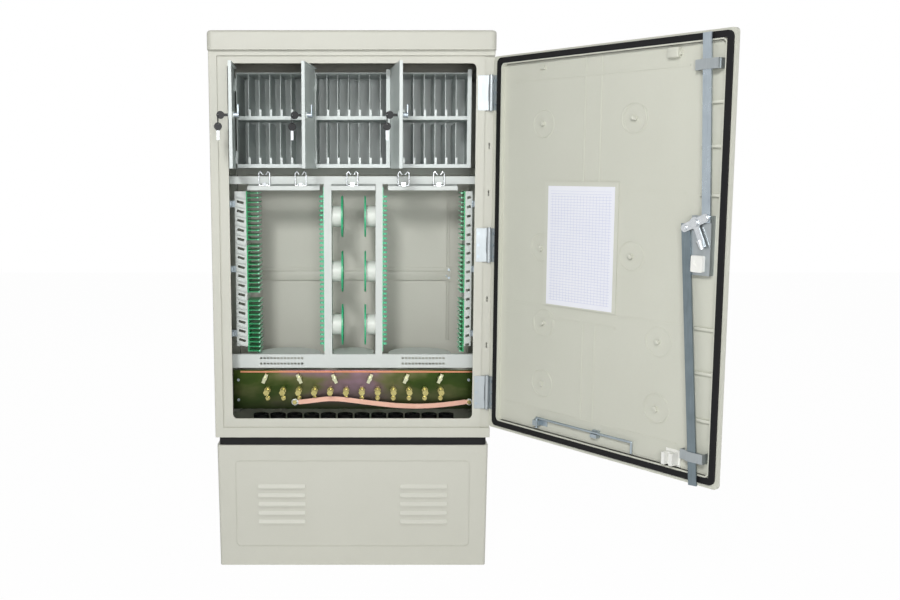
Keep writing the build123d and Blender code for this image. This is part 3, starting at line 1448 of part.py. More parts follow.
if __name__ == "__main__":
    main()
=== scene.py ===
"""Looks of a roadside fibre cabinet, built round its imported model."""

import logging
import math
from dataclasses import dataclass
from enum import Enum
from typing import Any, Iterable, Sequence

import bpy
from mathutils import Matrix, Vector


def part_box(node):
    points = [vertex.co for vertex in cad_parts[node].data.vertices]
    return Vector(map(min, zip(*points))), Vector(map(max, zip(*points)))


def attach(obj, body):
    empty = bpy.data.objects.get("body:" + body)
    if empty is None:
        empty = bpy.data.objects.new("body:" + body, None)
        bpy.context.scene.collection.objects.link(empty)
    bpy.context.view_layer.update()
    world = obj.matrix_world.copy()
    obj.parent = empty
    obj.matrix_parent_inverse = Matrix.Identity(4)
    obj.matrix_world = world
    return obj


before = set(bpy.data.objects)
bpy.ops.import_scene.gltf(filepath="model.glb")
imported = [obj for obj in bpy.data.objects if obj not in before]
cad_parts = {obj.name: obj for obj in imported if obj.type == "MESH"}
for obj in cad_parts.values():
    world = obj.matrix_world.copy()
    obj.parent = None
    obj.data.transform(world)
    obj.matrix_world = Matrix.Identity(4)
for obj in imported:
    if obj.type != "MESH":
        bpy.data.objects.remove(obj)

LOG = logging.getLogger("cabinet")
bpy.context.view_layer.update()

Triple = tuple[float, float, float]


def tint(code: str) -> tuple[float, float, float, float]:
    """Turn a screen colour into the linear one a shader takes.

    Args:
        code: Six hexadecimal digits, as read from a colour chart.

    Returns:
        The linear colour with full alpha.
    """
    parts = [int(code[i : i + 2], 16) / 255 for i in (0, 2, 4)]
    linear = [p / 12.92 if p <= 0.04045 else ((p + 0.055) / 1.055) ** 2.4 for p in parts]
    return (linear[0], linear[1], linear[2], 1.0)


class Body(Enum):
    """The moving bodies that new pieces ride on."""

    CABINET = "cabinet"
    DOOR = "main_door"


class Wire:
    """A shader value that can be used in ordinary arithmetic."""

    def __init__(self, sheet: "ShaderSheet", socket: Any) -> None:
        """Keep the socket and the sheet it belongs to."""
        self.sheet = sheet
        self.socket = socket

    def _do(self, operation: str, *values: Any) -> "Wire":
        """Add one Math node for these values."""
        return self.sheet.math(operation, *values)

    def __add__(self, other: Any) -> "Wire":
        """Sum."""
        return self._do("ADD", self, other)

    def __radd__(self, other: Any) -> "Wire":
        """Sum, the other way round."""
        return self._do("ADD", other, self)

    def __sub__(self, other: Any) -> "Wire":
        """Difference."""
        return self._do("SUBTRACT", self, other)

    def __rsub__(self, other: Any) -> "Wire":
        """Difference, the other way round."""
        return self._do("SUBTRACT", other, self)

    def __mul__(self, other: Any) -> "Wire":
        """Product."""
        return self._do("MULTIPLY", self, other)

    def __rmul__(self, other: Any) -> "Wire":
        """Product, the other way round."""
        return self._do("MULTIPLY", other, self)

    def __truediv__(self, other: Any) -> "Wire":
        """Quotient."""
        return self._do("DIVIDE", self, other)

    def __gt__(self, other: Any) -> "Wire":
        """One where this value is the greater, else zero."""
        return self._do("GREATER_THAN", self, other)

    def __lt__(self, other: Any) -> "Wire":
        """One where this value is the smaller, else zero."""
        return self._do("LESS_THAN", self, other)

    def wrap(self, period: float) -> "Wire":
        """Distance along a repeat of this period, from zero to the period."""
        return self._do("FLOORED_MODULO", self, period)

    def clamp(self) -> "Wire":
        """The value held between zero and one."""
        return self._do("MINIMUM", self._do("MAXIMUM", self, 0.0), 1.0)


class ShaderSheet:
    """One material's nodes and the few ways of adding to them."""

    def __init__(self, name: str) -> None:
        """Start an empty material with its surface shader."""
        self.material = bpy.data.materials.new(name)
        self.material.use_nodes = True
        self.tree = self.material.node_tree
        self.tree.nodes.clear()
        self.output = self.tree.nodes.new("ShaderNodeOutputMaterial")
        self.surface = self.tree.nodes.new("ShaderNodeBsdfPrincipled")
        self.tree.links.new(self.surface.outputs[0], self.output.inputs[0])

    def plug(self, target: Any, value: Any) -> None:
        """Link a value to a socket, or write it there.

        Args:
            target: The input socket.
            value: A Wire, a socket, or a plain number or colour.
        """
        if isinstance(value, Wire):
            value = value.socket
        if isinstance(value, bpy.types.NodeSocket):
            self.tree.links.new(value, target)
        else:
            target.default_value = value

    def node(self, kind: str, settings: dict[str, Any] | None = None, **sockets: Any) -> Any:
        """Add any node.

        Args:
            kind: The node's type after the word ShaderNode.
            settings: Properties to set before the sockets.
            sockets: Values by socket name, with spaces as underscores, or in_N for input N.

        Returns:
            The node.
        """
        made = self.tree.nodes.new("ShaderNode" + kind)
        for key, value in (settings or {}).items():
            if key == "stops":
                self._stops(made, value)
            else:
                setattr(made, key, value)
        for key, value in sockets.items():
            index: Any = int(key[3:]) if key.startswith("in_") else key.replace("_", " ")
            self.plug(made.inputs[index], value)
        return made

    def _stops(self, ramp: Any, stops: Sequence[tuple[float, tuple]]) -> None:
        """Write a colour ramp's stops."""
        elements = ramp.color_ramp.elements
        while len(elements) < len(stops):
            elements.new(0.5)
        for element, (place, colour) in zip(elements, stops):
            element.position = place
            element.color = colour

    def math(self, operation: str, *values: Any) -> Wire:
        """Add one Math node and give its result."""
        made = self.node("Math", {"operation": operation})
        for index, value in enumerate(values):
            self.plug(made.inputs[index], value)
        return Wire(self, made.outputs[0])

    def place(self, turn: float = 0.0, centre: Triple = (0.0, 0.0, 0.0)) -> Any:
        """Object coordinates, moved to a centre and then turned about the vertical.

        Args:
            turn: Angle in degrees.
            centre: The point that becomes the origin.

        Returns:
            The vector socket.
        """
        coords = self.node("TexCoord").outputs["Object"]
        if not turn and centre == (0.0, 0.0, 0.0):
            return coords
        moved = self.node("Mapping", Vector=coords, Location=tuple(-c for c in centre))
        turned = self.node("Mapping", Vector=moved.outputs[0], Rotation=(0, 0, math.radians(turn)))
        return turned.outputs[0]

    def split(self, vector: Any) -> tuple[Wire, Wire, Wire]:
        """The three parts of a vector."""
        parts = self.node("SeparateXYZ", Vector=vector)
        return Wire(self, parts.outputs[0]), Wire(self, parts.outputs[1]), Wire(self, parts.outputs[2])

    def noise(self, scale: float, detail: float = 3.0, vector: Any = None) -> Wire:
        """Soft noise from zero to one."""
        where = vector if vector is not None else self.place()
        made = self.node("TexNoise", Vector=where, Scale=scale, Detail=detail)
        return Wire(self, made.outputs[0])

    def mix(self, factor: Any, first: Any, second: Any) -> Any:
        """Blend two colours.

        Args:
            factor: Zero for the first and one for the second.
            first: A colour or a socket.
            second: A colour or a socket.

        Returns:
            The colour socket.
        """
        made = self.node("Mix", {"data_type": "RGBA"})
        self.plug(made.inputs[0], factor)
        self.plug(made.inputs[6], first)
        self.plug(made.inputs[7], second)
        return made.outputs[2]

    def bump(self, height: Any, depth: float, strength: float = 1.0) -> None:
        """Raise the surface by a pattern.

        Args:
            height: The pattern, zero to one.
            depth: Its depth in metres.
            strength: How much of it shows.
        """
        made = self.node("Bump", Height=height, Distance=depth, Strength=strength)
        self.plug(self.surface.inputs["Normal"], made.outputs[0])

    def set(self, **values: Any) -> None:
        """Set surface inputs by name, with spaces as underscores."""
        for key, value in values.items():
            self.plug(self.surface.inputs[key.replace("_", " ")], value)


@dataclass(frozen=True)
class Finish:
    """A named surface finish that makes its material once."""

    name: str

    def paint(self, sheet: ShaderSheet) -> None:
        """Write the finish into a sheet."""
        raise NotImplementedError

    def material(self) -> bpy.types.Material:
        """The material for this finish, made at first use."""
        found = bpy.data.materials.get(self.name)
        if found:
            return found
        sheet = ShaderSheet(self.name)
        self.paint(sheet)
        return sheet.material


@dataclass(frozen=True)
class MouldedPlastic(Finish):
    """Pressed sheet-moulding compound: faint fibre mottle and a fine orange peel."""

    colour: str = "C9C9BF"
    shade: str = "C1C1B5"
    roughness: float = 0.46
    grain: float = 0.00010

    def paint(self, sheet: ShaderSheet) -> None:
        """Mottle the colour, break the gloss and add the peel."""
        cloud = sheet.noise(5.0, 4.0)
        fleck = sheet.noise(240.0, 2.0)
        mask = (cloud * 0.7 + fleck * 0.3).clamp()
        sheet.set(Base_Color=sheet.mix(mask, tint(self.colour), tint(self.shade)))
        sheet.set(Roughness=(fleck * 0.12 + (self.roughness - 0.06)).clamp())
        sheet.bump((sheet.noise(900.0, 2.0) * 0.7 + sheet.noise(130.0, 2.0) * 0.3).socket, self.grain)


@dataclass(frozen=True)
class PaintedSheet(Finish):
    """Powder-coated steel sheet."""

    colour: str = "B4B7AF"
    shade: str = "A9ACA4"
    roughness: float = 0.38

    def paint(self, sheet: ShaderSheet) -> None:
        """Even coat with slight cloudiness and a fine peel."""
        cloud = sheet.noise(14.0, 3.0)
        sheet.set(Base_Color=sheet.mix(cloud, tint(self.colour), tint(self.shade)))
        sheet.set(Roughness=(sheet.noise(300.0) * 0.1 + (self.roughness - 0.05)).clamp())
        sheet.bump(sheet.noise(700.0, 2.0).socket, 0.00005)


@dataclass(frozen=True)
class ZincSteel(Finish):
    """Bright zinc on steel, with drawing marks along one direction."""

    colour: str = "B9C3C9"
    shade: str = "8F9BA3"
    roughness: float = 0.30
    along: Triple = (1.0, 1.0, 0.05)

    def paint(self, sheet: ShaderSheet) -> None:
        """Streak and cloud the metal."""
        drawn = sheet.node("Mapping", Vector=sheet.place(), Scale=self.along).outputs[0]
        streak = sheet.noise(420.0, 2.0, drawn)
        cloud = sheet.noise(28.0, 4.0)
        mask = (streak * 0.45 + cloud * 0.55).clamp()
        sheet.set(Base_Color=sheet.mix(mask, tint(self.colour), tint(self.shade)), Metallic=0.85)
        sheet.set(Roughness=(cloud * 0.16 + (self.roughness - 0.06) + streak * 0.06).clamp())
        sheet.bump(streak.socket, 0.00004)


@dataclass(frozen=True)
class ChromatePlate(Finish):
    """Passivated zinc plate whose film shifts from olive to violet and gold, with painted shade darkening it towards
    its foot.
    """

    low: float = 0.424
    high: float = 0.535

    def paint(self, sheet: ShaderSheet) -> None:
        """Run the film colours in soft patches, greener to the left and violet in the middle, then paint shade that
        darkens the plate towards its foot.
        """
        x, _, z = sheet.split(sheet.place())
        stretched = sheet.node("Mapping", Vector=sheet.place(), Scale=(1.0, 1.0, 2.2)).outputs[0]
        cloud = sheet.noise(6.5, 3.0, stretched)
        fine = sheet.noise(60.0, 3.0)
        middle = 1.0 - sheet.math("ABSOLUTE", (x - 0.02) * 3.6)
        film = (cloud * 0.9 + middle.clamp() * 0.42 - 0.16 + fine * 0.07).clamp()
        ramp = sheet.node(
            "ValToRGB",
            {
                "stops": (
                    (0.10, tint("1E3309")),
                    (0.34, tint("374A12")),
                    (0.50, tint("6B6A44")),
                    (0.62, tint("7F676B")),
                    (0.78, tint("95788B")),
                    (0.95, tint("35501A")),
                )
            },
            Fac=film,
        )
        # Painted shade: the plate fades to dark olive from its top down to its foot.
        foot_shade_mask = ((z - self.low) / (self.high - self.low)).clamp()
        shade = sheet.mix(foot_shade_mask, tint("202D0D"), ramp.outputs[0])
        sheet.set(Base_Color=shade, Metallic=0.75, Roughness=(fine * 0.16 + 0.24).clamp())
        sheet.bump(sheet.noise(500.0).socket, 0.00003)


@dataclass(frozen=True)
class BrightMetal(Finish):
    """Plated or bare metal with light handling marks."""

    colour: str = "D8B25A"
    shade: str = "B58B3C"
    roughness: float = 0.24
    metal: float = 0.9

    def paint(self, sheet: ShaderSheet) -> None:
        """Cloud the plating and scratch it finely."""
        cloud = sheet.noise(90.0, 4.0)
        sheet.set(Base_Color=sheet.mix(cloud, tint(self.colour), tint(self.shade)), Metallic=self.metal)
        sheet.set(Roughness=(cloud * 0.14 + (self.roughness - 0.06)).clamp())
        sheet.bump(sheet.noise(800.0, 2.0).socket, 0.00002)


@dataclass(frozen=True)
class CopperBraid(Finish):
    """Flat woven copper under a clear salmon sleeve."""

    colour: str = "FBD3C0"
    shade: str = "EEAE95"
    cell: float = 0.0021
    lug_left: float = -0.1520
    lug_right: float = 0.3190

    def paint(self, sheet: ShaderSheet) -> None:
        """Cross two slanted sets of strands."""
        x, _, z = sheet.split(sheet.place())
        wave_a = sheet.math("SINE", (x + z) * (2 * math.pi / self.cell))
        wave_b = sheet.math("SINE", (x - z) * (2 * math.pi / self.cell))
        weave = (wave_a * wave_b * 0.5 + 0.5).clamp()
        cloud = sheet.noise(30.0)
        mask = (weave * 0.55 + cloud * 0.45).clamp()
        strand = sheet.mix(mask, tint(self.shade), tint(self.colour))
        lug = ((x < self.lug_left) + (x > self.lug_right)).clamp()
        sheet.set(Base_Color=sheet.mix(lug, strand, tint("C9CDCD")), Metallic=(lug * 0.6 + 0.25).clamp())
        sheet.set(Roughness=(0.42 - weave * 0.12).clamp(), Coat_Weight=0.35)
        sheet.bump(weave.socket, 0.0003)


@dataclass(frozen=True)
class GlossPlastic(Finish):
    """Injection-moulded plastic."""

    colour: str = "1FA267"
    shade: str = "178B57"
    roughness: float = 0.28

    def paint(self, sheet: ShaderSheet) -> None:
        """Even colour with faint flow marks."""
        flow = sheet.noise(22.0, 3.0)
        sheet.set(Base_Color=sheet.mix(flow, tint(self.colour), tint(self.shade)))
        sheet.set(Roughness=(sheet.noise(160.0) * 0.12 + (self.roughness - 0.05)).clamp())
        sheet.bump(sheet.noise(420.0, 2.0).socket, 0.00004)


@dataclass(frozen=True)
class GuideGreen(Finish):
    """Green guide plastic whose rib tips are painted paler, a painted highlight where light falls on them."""

    left_tip: float = -0.2625
    right_tip: float = 0.3005

    def paint(self, sheet: ShaderSheet) -> None:
        """Lighten each rib past the start of its tip with a painted highlight."""
        x, _, z = sheet.split(sheet.place())
        left = (x > self.left_tip) * (x < 0.0)
        right = (x < self.right_tip) * (x > 0.0)
        lit_tip_mask = (left + right).clamp()
        body = sheet.mix(sheet.noise(18.0), tint("2FAE6E"), tint("239A5E"))
        # Painted highlight: the rib tips take a pale green where light catches them.
        sheet.set(Base_Color=sheet.mix(lit_tip_mask, body, tint("8FE0B8")))
        sheet.set(Roughness=(sheet.noise(160.0) * 0.1 + 0.24).clamp())
        sheet.bump(sheet.noise(420.0, 2.0).socket, 0.00004)


@dataclass(frozen=True)
class Rubber(Finish):
    """Black seal rubber."""

    colour: str = "0A0A0C"

    def paint(self, sheet: ShaderSheet) -> None:
        """Dull black with a slight bloom."""
        bloom = sheet.noise(35.0, 4.0)
        sheet.set(Base_Color=sheet.mix(bloom, tint(self.colour), tint("131315")))
        sheet.set(Roughness=(bloom * 0.2 + 0.5).clamp(), Specular_IOR_Level=0.25)
        sheet.bump(sheet.noise(600.0).socket, 0.00008)


@dataclass(frozen=True)
class ChartPaper(Finish):
    """A sheet of paper with a plain ruled grid."""

    centre: Triple = (0.0, 0.0, 0.0)
    turn: float = 0.0
    width: float = 0.210
    height: float = 0.297
    row: float = 0.0068
    column: float = 0.0100
    line: float = 0.0007

    def paint(self, sheet: ShaderSheet) -> None:
        """Rule rows and columns inside a margin."""
        x, _, z = sheet.split(sheet.place(self.turn, self.centre))
        rows = z.wrap(self.row) < self.line
        columns = x.wrap(self.column) < self.line
        inside_x = sheet.math("ABSOLUTE", x) < (self.width / 2 - 0.009)
        inside_z = sheet.math("ABSOLUTE", z) < (self.height / 2 - 0.012)
        head = z > (self.height / 2 - 0.022)
        grid = (rows + columns * (1.0 - head)).clamp() * inside_x * inside_z
        page = sheet.mix(sheet.noise(12.0), tint("F1F2F8"), tint("E7E9F3"))
        sheet.set(Base_Color=sheet.mix(grid * 0.5, page, tint("8E9AD0")), Roughness=0.72)
        sheet.bump(sheet.noise(9.0, 2.0).socket, 0.0006)


@dataclass(frozen=True)
class KeySet(Finish):
    """Black key heads with a steel ring and blades."""

    blade_top: float = 1.189

    def paint(self, sheet: ShaderSheet) -> None:
        """Steel below the spare key's head, black plastic above."""
        _, _, z = sheet.split(sheet.place())
        blade = z < self.blade_top
        sheet.set(Base_Color=sheet.mix(blade, tint("161719"), tint("B9BDC0")), Metallic=blade * 0.9)
        sheet.set(Roughness=(sheet.noise(200.0) * 0.1 + 0.38).clamp(), Specular_IOR_Level=0.3)


SHELL = MouldedPlastic("moulded_shell_finish")
CAP = MouldedPlastic("moulded_cap_finish", colour="C6C6BC", shade="BEBEB2")
DOOR = MouldedPlastic("moulded_door_finish", colour="D0D1C5", shade="C6C7BA", roughness=0.40)
POCKET = MouldedPlastic("pocket_finish", colour="D2D3C8", shade="C8C9BC", roughness=0.34)
COMPARTMENT = PaintedSheet("compartment_finish", colour="D6DDDB", shade="CAD2CF")
DIVIDER = PaintedSheet("divider_finish", colour="DDE4E2", shade="D2DAD7", roughness=0.30)
RACK = PaintedSheet("rack_finish", colour="A3A69E", shade="969990")
PALE = PaintedSheet("pale_sheet_finish", colour="D3D8D5", shade="C8CECA", roughness=0.42)
ZINC = ZincSteel("zinc_finish")
# The two lock rods share one zinc: the upper rod's finish is a lighter copy that paints its highlights, and the lower
# rod's is a darker copy that paints the shade it lies in.
ROD_SHADED_ZINC = ZincSteel("rod_shaded_zinc_finish", colour="8C999F", shade="5C686E", roughness=0.28)
ROD_LIT_ZINC = ZincSteel("rod_lit_zinc_finish", colour="C2CCD3", shade="8D99A2", roughness=0.24)
HINGE_ZINC = ZincSteel("hinge_zinc_finish", colour="B4BABC", shade="979EA1", roughness=0.38)
CHROMATE = ChromatePlate("chromate_finish")
STUD = BrightMetal("stud_finish", colour="CDC48A", shade="94894A", roughness=0.26)
CLAMP_METAL = BrightMetal("stud_clamp_finish", colour="DADCC2", shade="A9AA82", roughness=0.28)
BARE_COPPER = BrightMetal("copper_bar_finish", colour="D79A7B", shade="B87356", roughness=0.3)
CHROME = BrightMetal("chrome_finish", colour="D9DCDE", shade="BFC4C8", roughness=0.16)
BRAID = CopperBraid("copper_braid_finish")
GREEN = GuideGreen("guide_green_finish")
MINT = GlossPlastic("mint_finish", colour="6FD2A6", shade="4FBE8D")
FLANGE = GlossPlastic("flange_finish", colour="35B884", shade="1FA26C")
WHITE = GlossPlastic("white_plastic_finish", colour="EDEDE8", shade="E2E3DE", roughness=0.4)
SEAL = Rubber("seal_rubber_finish")
KEYS = KeySet("key_finish")


def dress(nodes: Iterable[str], finish: Finish) -> None:
    """Give CAD nodes a finish on every slot they have.

    Args:
        nodes: Names of the nodes.
        finish: The finish they take.
    """
    material = finish.material()
    for name in nodes:
        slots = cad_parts[name].material_slots
        for place in slots:
            place.material = material
        LOG.info("dressed %s in %s", name, finish.name)


@dataclass
class Bench:
    """Shapes pieces for one body with the edit-mode tools."""

    body: Body

    def slab(self, name: str, low: Triple, high: Triple, bevel: float = 0.0004) -> bpy.types.Object:
        """A plate with rounded edges between two corners.

        Args:
            name: The piece's name.
            low: The corner with the smallest coordinates, in metres.
            high: The opposite corner.
            bevel: Width of the rounded edges.

        Returns:
            The piece, at the origin.
        """
        bpy.ops.object.select_all(action="DESELECT")
        bpy.ops.mesh.primitive_cube_add(size=1.0)
        piece = bpy.context.object
        piece.name = name
        span = tuple(b - a for a, b in zip(low, high))
        middle = tuple((a + b) / 2 for a, b in zip(low, high))
        bpy.ops.object.mode_set(mode="EDIT")
        bpy.ops.mesh.select_all(action="SELECT")
        bpy.ops.transform.resize(value=span)
        bpy.ops.mesh.bevel(offset=bevel, segments=2, affect="EDGES")
        bpy.ops.transform.translate(value=middle)
        bpy.ops.object.mode_set(mode="OBJECT")
        return piece

    def ring(self, name: str, size: tuple[float, float], wall: float, depth: float, corner: float) -> bpy.types.Object:
        """An upright rounded frame that faces the front, its back at the origin.

        Args:
            name: The piece's name.
            size: Width and height over the outside.
            wall: Width of the frame's bars.
            depth: How far they stand up.
            corner: Outer corner radius.

        Returns:
            The piece, centred on the origin.
        """
        bpy.ops.object.select_all(action="DESELECT")
        bpy.ops.mesh.primitive_plane_add(size=1.0)
        piece = bpy.context.object
        piece.name = name
        bpy.ops.object.mode_set(mode="EDIT")
        bpy.ops.mesh.select_all(action="SELECT")
        bpy.ops.transform.resize(value=(size[0], size[1], 1.0))
        bpy.ops.mesh.bevel(offset=corner, segments=6, affect="VERTICES")
        bpy.ops.mesh.select_all(action="SELECT")
        bpy.ops.mesh.inset(thickness=wall)
        bpy.ops.mesh.delete(type="FACE")
        bpy.ops.mesh.select_all(action="SELECT")
        bpy.ops.mesh.extrude_region_move(TRANSFORM_OT_translate={"value": (0.0, 0.0, depth)})
        bpy.ops.mesh.select_all(action="SELECT")
        bpy.ops.mesh.normals_make_consistent(inside=False)
        bpy.ops.object.mode_set(mode="OBJECT")
        piece.rotation_euler = (math.radians(90.0), 0.0, 0.0)
        bpy.ops.object.transform_apply(location=True, rotation=True, scale=True)
        return piece

    def join(self, pieces: Sequence[bpy.types.Object]) -> bpy.types.Object:
        """Join pieces into the first one."""
        bpy.ops.object.select_all(action="DESELECT")
        for piece in pieces:
            piece.select_set(True)
        bpy.context.view_layer.objects.active = pieces[0]
        bpy.ops.object.join()
        return pieces[0]

    def finish(self, piece: bpy.types.Object, look: Finish) -> bpy.types.Object:
        """Give a piece its finish and its body, and report it."""
        bpy.ops.object.select_all(action="DESELECT")
        piece.select_set(True)
        bpy.context.view_layer.objects.active = piece
        bpy.ops.object.shade_smooth_by_angle(angle=math.radians(35.0))
        piece.data.materials.clear()
        piece.data.materials.append(look.material())
        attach(piece, self.body.value)
        LOG.info("made %s on %s in %s", piece.name, self.body.value, look.name)
        return piece


@dataclass
class RearWall:
    """Stiffening rail and ribs that show on the back wall of the cable space."""

    face: float = 0.1500
    rail: tuple[float, float, float, float] = (-0.2880, 0.2860, 0.7640, 0.7900)
    rise: float = 0.0016
    rib_xs: tuple[float, ...] = (-0.2810, -0.2730, 0.2760, 0.2830)
    rib_zs: tuple[float, float] = (0.5850, 1.0500)
    bolt_inset: float = 0.0100
    bolt_radius: float = 0.0028

    def build(self) -> None:
        """Model the rail, its ribs and its two bolt heads."""
        bench = Bench(Body.CABINET)
        x0, x1, z0, z1 = self.rail
        plate = bench.slab("rear_rail", (x0, self.face - self.rise, z0), (x1, self.face, z1), 0.0009)
        step = bench.slab("rear_step", (x0, self.face - 0.0012, z1), (x1, self.face, z1 + 0.0022), 0.0004)
        bars = [plate, step]
        for x in self.rib_xs:
            low = (x - 0.0008, self.face - 0.0014, self.rib_zs[0])
            bars.append(bench.slab("rear_rib", low, (x + 0.0008, self.face, self.rib_zs[1])))
        bench.finish(bench.join(bars), SHELL)
        heads = [self.bolt(x, (z0 + z1) / 2) for x in (x0 + self.bolt_inset, x1 - self.bolt_inset)]
        bench.finish(bench.join(heads), ZINC)

    def bolt(self, x: float, z: float) -> bpy.types.Object:
        """A domed bolt head on the rail."""
        bpy.ops.object.select_all(action="DESELECT")
        bpy.ops.mesh.primitive_cylinder_add(vertices=24, radius=self.bolt_radius, depth=0.0018)
        head = bpy.context.object
        head.name = "rear_rail_bolt"
        bpy.ops.object.mode_set(mode="EDIT")
        bpy.ops.mesh.select_all(action="SELECT")
        bpy.ops.mesh.bevel(offset=0.0006, segments=3, affect="EDGES")
        bpy.ops.object.mode_set(mode="OBJECT")
        head.rotation_euler = (math.radians(90.0), 0.0, 0.0)
        head.location = (x, self.face - self.rise - 0.0008, z)
        bpy.ops.object.transform_apply(location=True, rotation=True, scale=True)
        return head


@dataclass
class DoorLining:
    """Rib inside the door seal, ledges beside the lock rods and the rings round the bosses."""

    origin: tuple[float, float] = (0.37784, -0.17189)
    turn: float = -52.79
    rib_span: tuple[float, float, float, float] = (0.0143, 0.6777, 0.4190, 1.3640)
    rib_wall: float = 0.0032
    rib_back: float = -0.0132
    rib_rise: float = 0.0120
    ledge_us: tuple[float, float] = (0.6230, 0.6735)
    ledge_zs: tuple[float, ...] = (1.2300, 1.1370, 1.0335, 0.7430, 0.6450, 0.5400)
    ledge_back: float = -0.0132
    ledge_rise: float = 0.0100
    ledge_thick: float = 0.0068
    block_us: tuple[float, float] = (0.5290, 0.5570)
    block_zs: tuple[float, float] = (1.3330, 1.3560)
    block_rise: float = 0.0130
    bosses: tuple[tuple[float, float], ...] = (
        (0.1565, 1.2042),
        (0.4347, 1.2080),
        (0.4390, 0.8919),
        (0.1552, 0.8959),
        (0.1712, 0.7025),
        (0.1688, 0.5459),
        (0.5231, 0.7008),
        (0.5242, 0.5471),
    )
    boss_radius: float = 0.0345
    boss_wire: float = 0.0011
    pin_radius: float = 0.0046
    pin_rise: float = 0.0090

    def build(self) -> None:
        """Model the rib and the ledges flat, then turn them onto the open door."""
        bench = Bench(Body.DOOR)
        u0, u1, z0, z1 = self.rib_span
        rib = bench.ring("door_rib", (u1 - u0, z1 - z0), self.rib_wall, self.rib_rise, 0.012)
        middle = Vector(((u0 + u1) / 2, -self.rib_back, (z0 + z1) / 2))
        for vertex in rib.data.vertices:
            vertex.co += middle
        bench.finish(self.swing(rib), DOOR)
        u0, u1 = self.ledge_us
        ledges = [
            bench.slab(
                "door_ledges",
                (u0, -self.ledge_back - self.ledge_rise, z),
                (u1, -self.ledge_back, z + self.ledge_thick),
                0.0012,
            )
            for z in self.ledge_zs
        ]
        (u0, u1), (z0, z1) = self.block_us, self.block_zs
        low = (u0, -self.ledge_back - self.block_rise, z0)
        ledges.append(bench.slab("door_block", low, (u1, -self.ledge_back, z1), 0.0020))
        bench.finish(self.swing(bench.join(ledges)), DOOR)

        rings = [self.boss_ring(u, z) for u, z in self.bosses]
        bench.finish(self.swing(bench.join(rings)), DOOR)
        pins = [self.boss_pin(u, z) for u, z in self.bosses]
        bench.finish(self.swing(bench.join(pins)), POCKET)

    def boss_ring(self, u: float, z: float) -> bpy.types.Object:
        """The low round ridge of one boss."""
        bpy.ops.object.select_all(action="DESELECT")
        bpy.ops.mesh.primitive_torus_add(
            major_segments=64, minor_segments=8, major_radius=self.boss_radius, minor_radius=self.boss_wire
        )
        ring = bpy.context.object
        ring.name = "door_boss_rings"
        return self.stand(ring, u, z, -self.ledge_back - 0.0004)

    def boss_pin(self, u: float, z: float) -> bpy.types.Object:
        """The short rounded pin at the centre of one boss."""
        bpy.ops.object.select_all(action="DESELECT")
        bpy.ops.mesh.primitive_cylinder_add(vertices=24, radius=self.pin_radius, depth=self.pin_rise)
        pin = bpy.context.object
        pin.name = "door_boss_pins"
        bpy.ops.object.mode_set(mode="EDIT")
        bpy.ops.mesh.select_all(action="SELECT")
        bpy.ops.mesh.bevel(offset=0.0012, segments=3, affect="EDGES")
        bpy.ops.object.mode_set(mode="OBJECT")
        return self.stand(pin, u, z, -self.ledge_back - self.pin_rise / 2)

    def stand(self, piece: bpy.types.Object, u: float, z: float, y: float) -> bpy.types.Object:
        """Turn a flat piece to face the front and move it to its place."""
        piece.rotation_euler = (math.radians(90.0), 0.0, 0.0)
        piece.location = (u, y, z)
        bpy.ops.object.transform_apply(location=True, rotation=True, scale=True)
        return piece

    def swing(self, piece: bpy.types.Object) -> bpy.types.Object:
        """Turn a flat piece from its own axes onto the open door."""
        bpy.ops.object.select_all(action="DESELECT")
        piece.select_set(True)
        bpy.context.view_layer.objects.active = piece
        piece.rotation_euler = (0.0, 0.0, math.radians(self.turn))
        piece.location = (self.origin[0], self.origin[1], 0.0)
        bpy.ops.object.transform_apply(location=True, rotation=True, scale=True)
        return piece


@dataclass
class Shell:
    """The moulded housing on its base."""

    panels: tuple[str, ...] = (
        "base_plinth",
        "side_panel_left",
        "side_panel_right",
        "rear_panel",
        "floor_panel",
        "door_frame",
    )
    seals: tuple[str, ...] = ("base_seal", "door_gasket", "entry_grommets")

    def build(self) -> None:
        """Dress the housing."""
        dress(self.panels, SHELL)
        dress(("roof_cap",), CAP)
        dress(self.seals, SEAL)
        RearWall().build()


@dataclass
class MainDoor:
    """The wide door with its lock gear and papers."""

    open_angle: float = 127.2
    plates: tuple[str, ...] = ("frame_hinge_leaves", "door_hinge_leaves", "rod_guides", "lock_bracket")
    small: tuple[str, ...] = ("stay_rod", "stay_brackets", "fixing_screws", "door_screws")
    white: tuple[str, ...] = ("guide_rollers", "corner_catch", "lock_cover")

    def build(self) -> None:
        """Dress the door and rule its chart."""
        dress(("door_shell",), DOOR)
        dress(("document_pocket",), POCKET)
        dress(self.plates, HINGE_ZINC)
        # Upper rod in the lighter copy of the rod zinc (painted highlight), lower rod in the darker copy (painted
        # shade).
        dress(("rod_upper",), ROD_LIT_ZINC)
        dress(("rod_lower",), ROD_SHADED_ZINC)
        dress(self.small, ZINC)
        dress(self.white, WHITE)
        dress(("lock_crank", "door_handle"), CHROME)
        dress(("chart_sheet",), self.chart())
        DoorLining().build()

    def chart(self) -> ChartPaper:
        """The chart's finish, centred on the sheet."""
        low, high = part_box("chart_sheet")
        centre = tuple((a + b) / 2 for a, b in zip(low, high))
        return ChartPaper("chart_finish", centre=centre, turn=-(180.0 + self.open_angle))


@dataclass
class Compartments:
    """Three small lockable compartments with their dividers."""

    sides: tuple[str, ...] = ("left", "middle", "right")

    def build(self) -> None:
        """Dress boxes, doors, locks and keys."""
        for side in self.sides:
            dress((f"compartment_box_{side}", f"compartment_door_{side}"), COMPARTMENT)
            dress((f"cam_{side}",), ZINC)
            dress((f"key_{side}",), KEYS)
        dress(("slot_dividers",), DIVIDER)
        dress(("equipment_frame",), RACK)


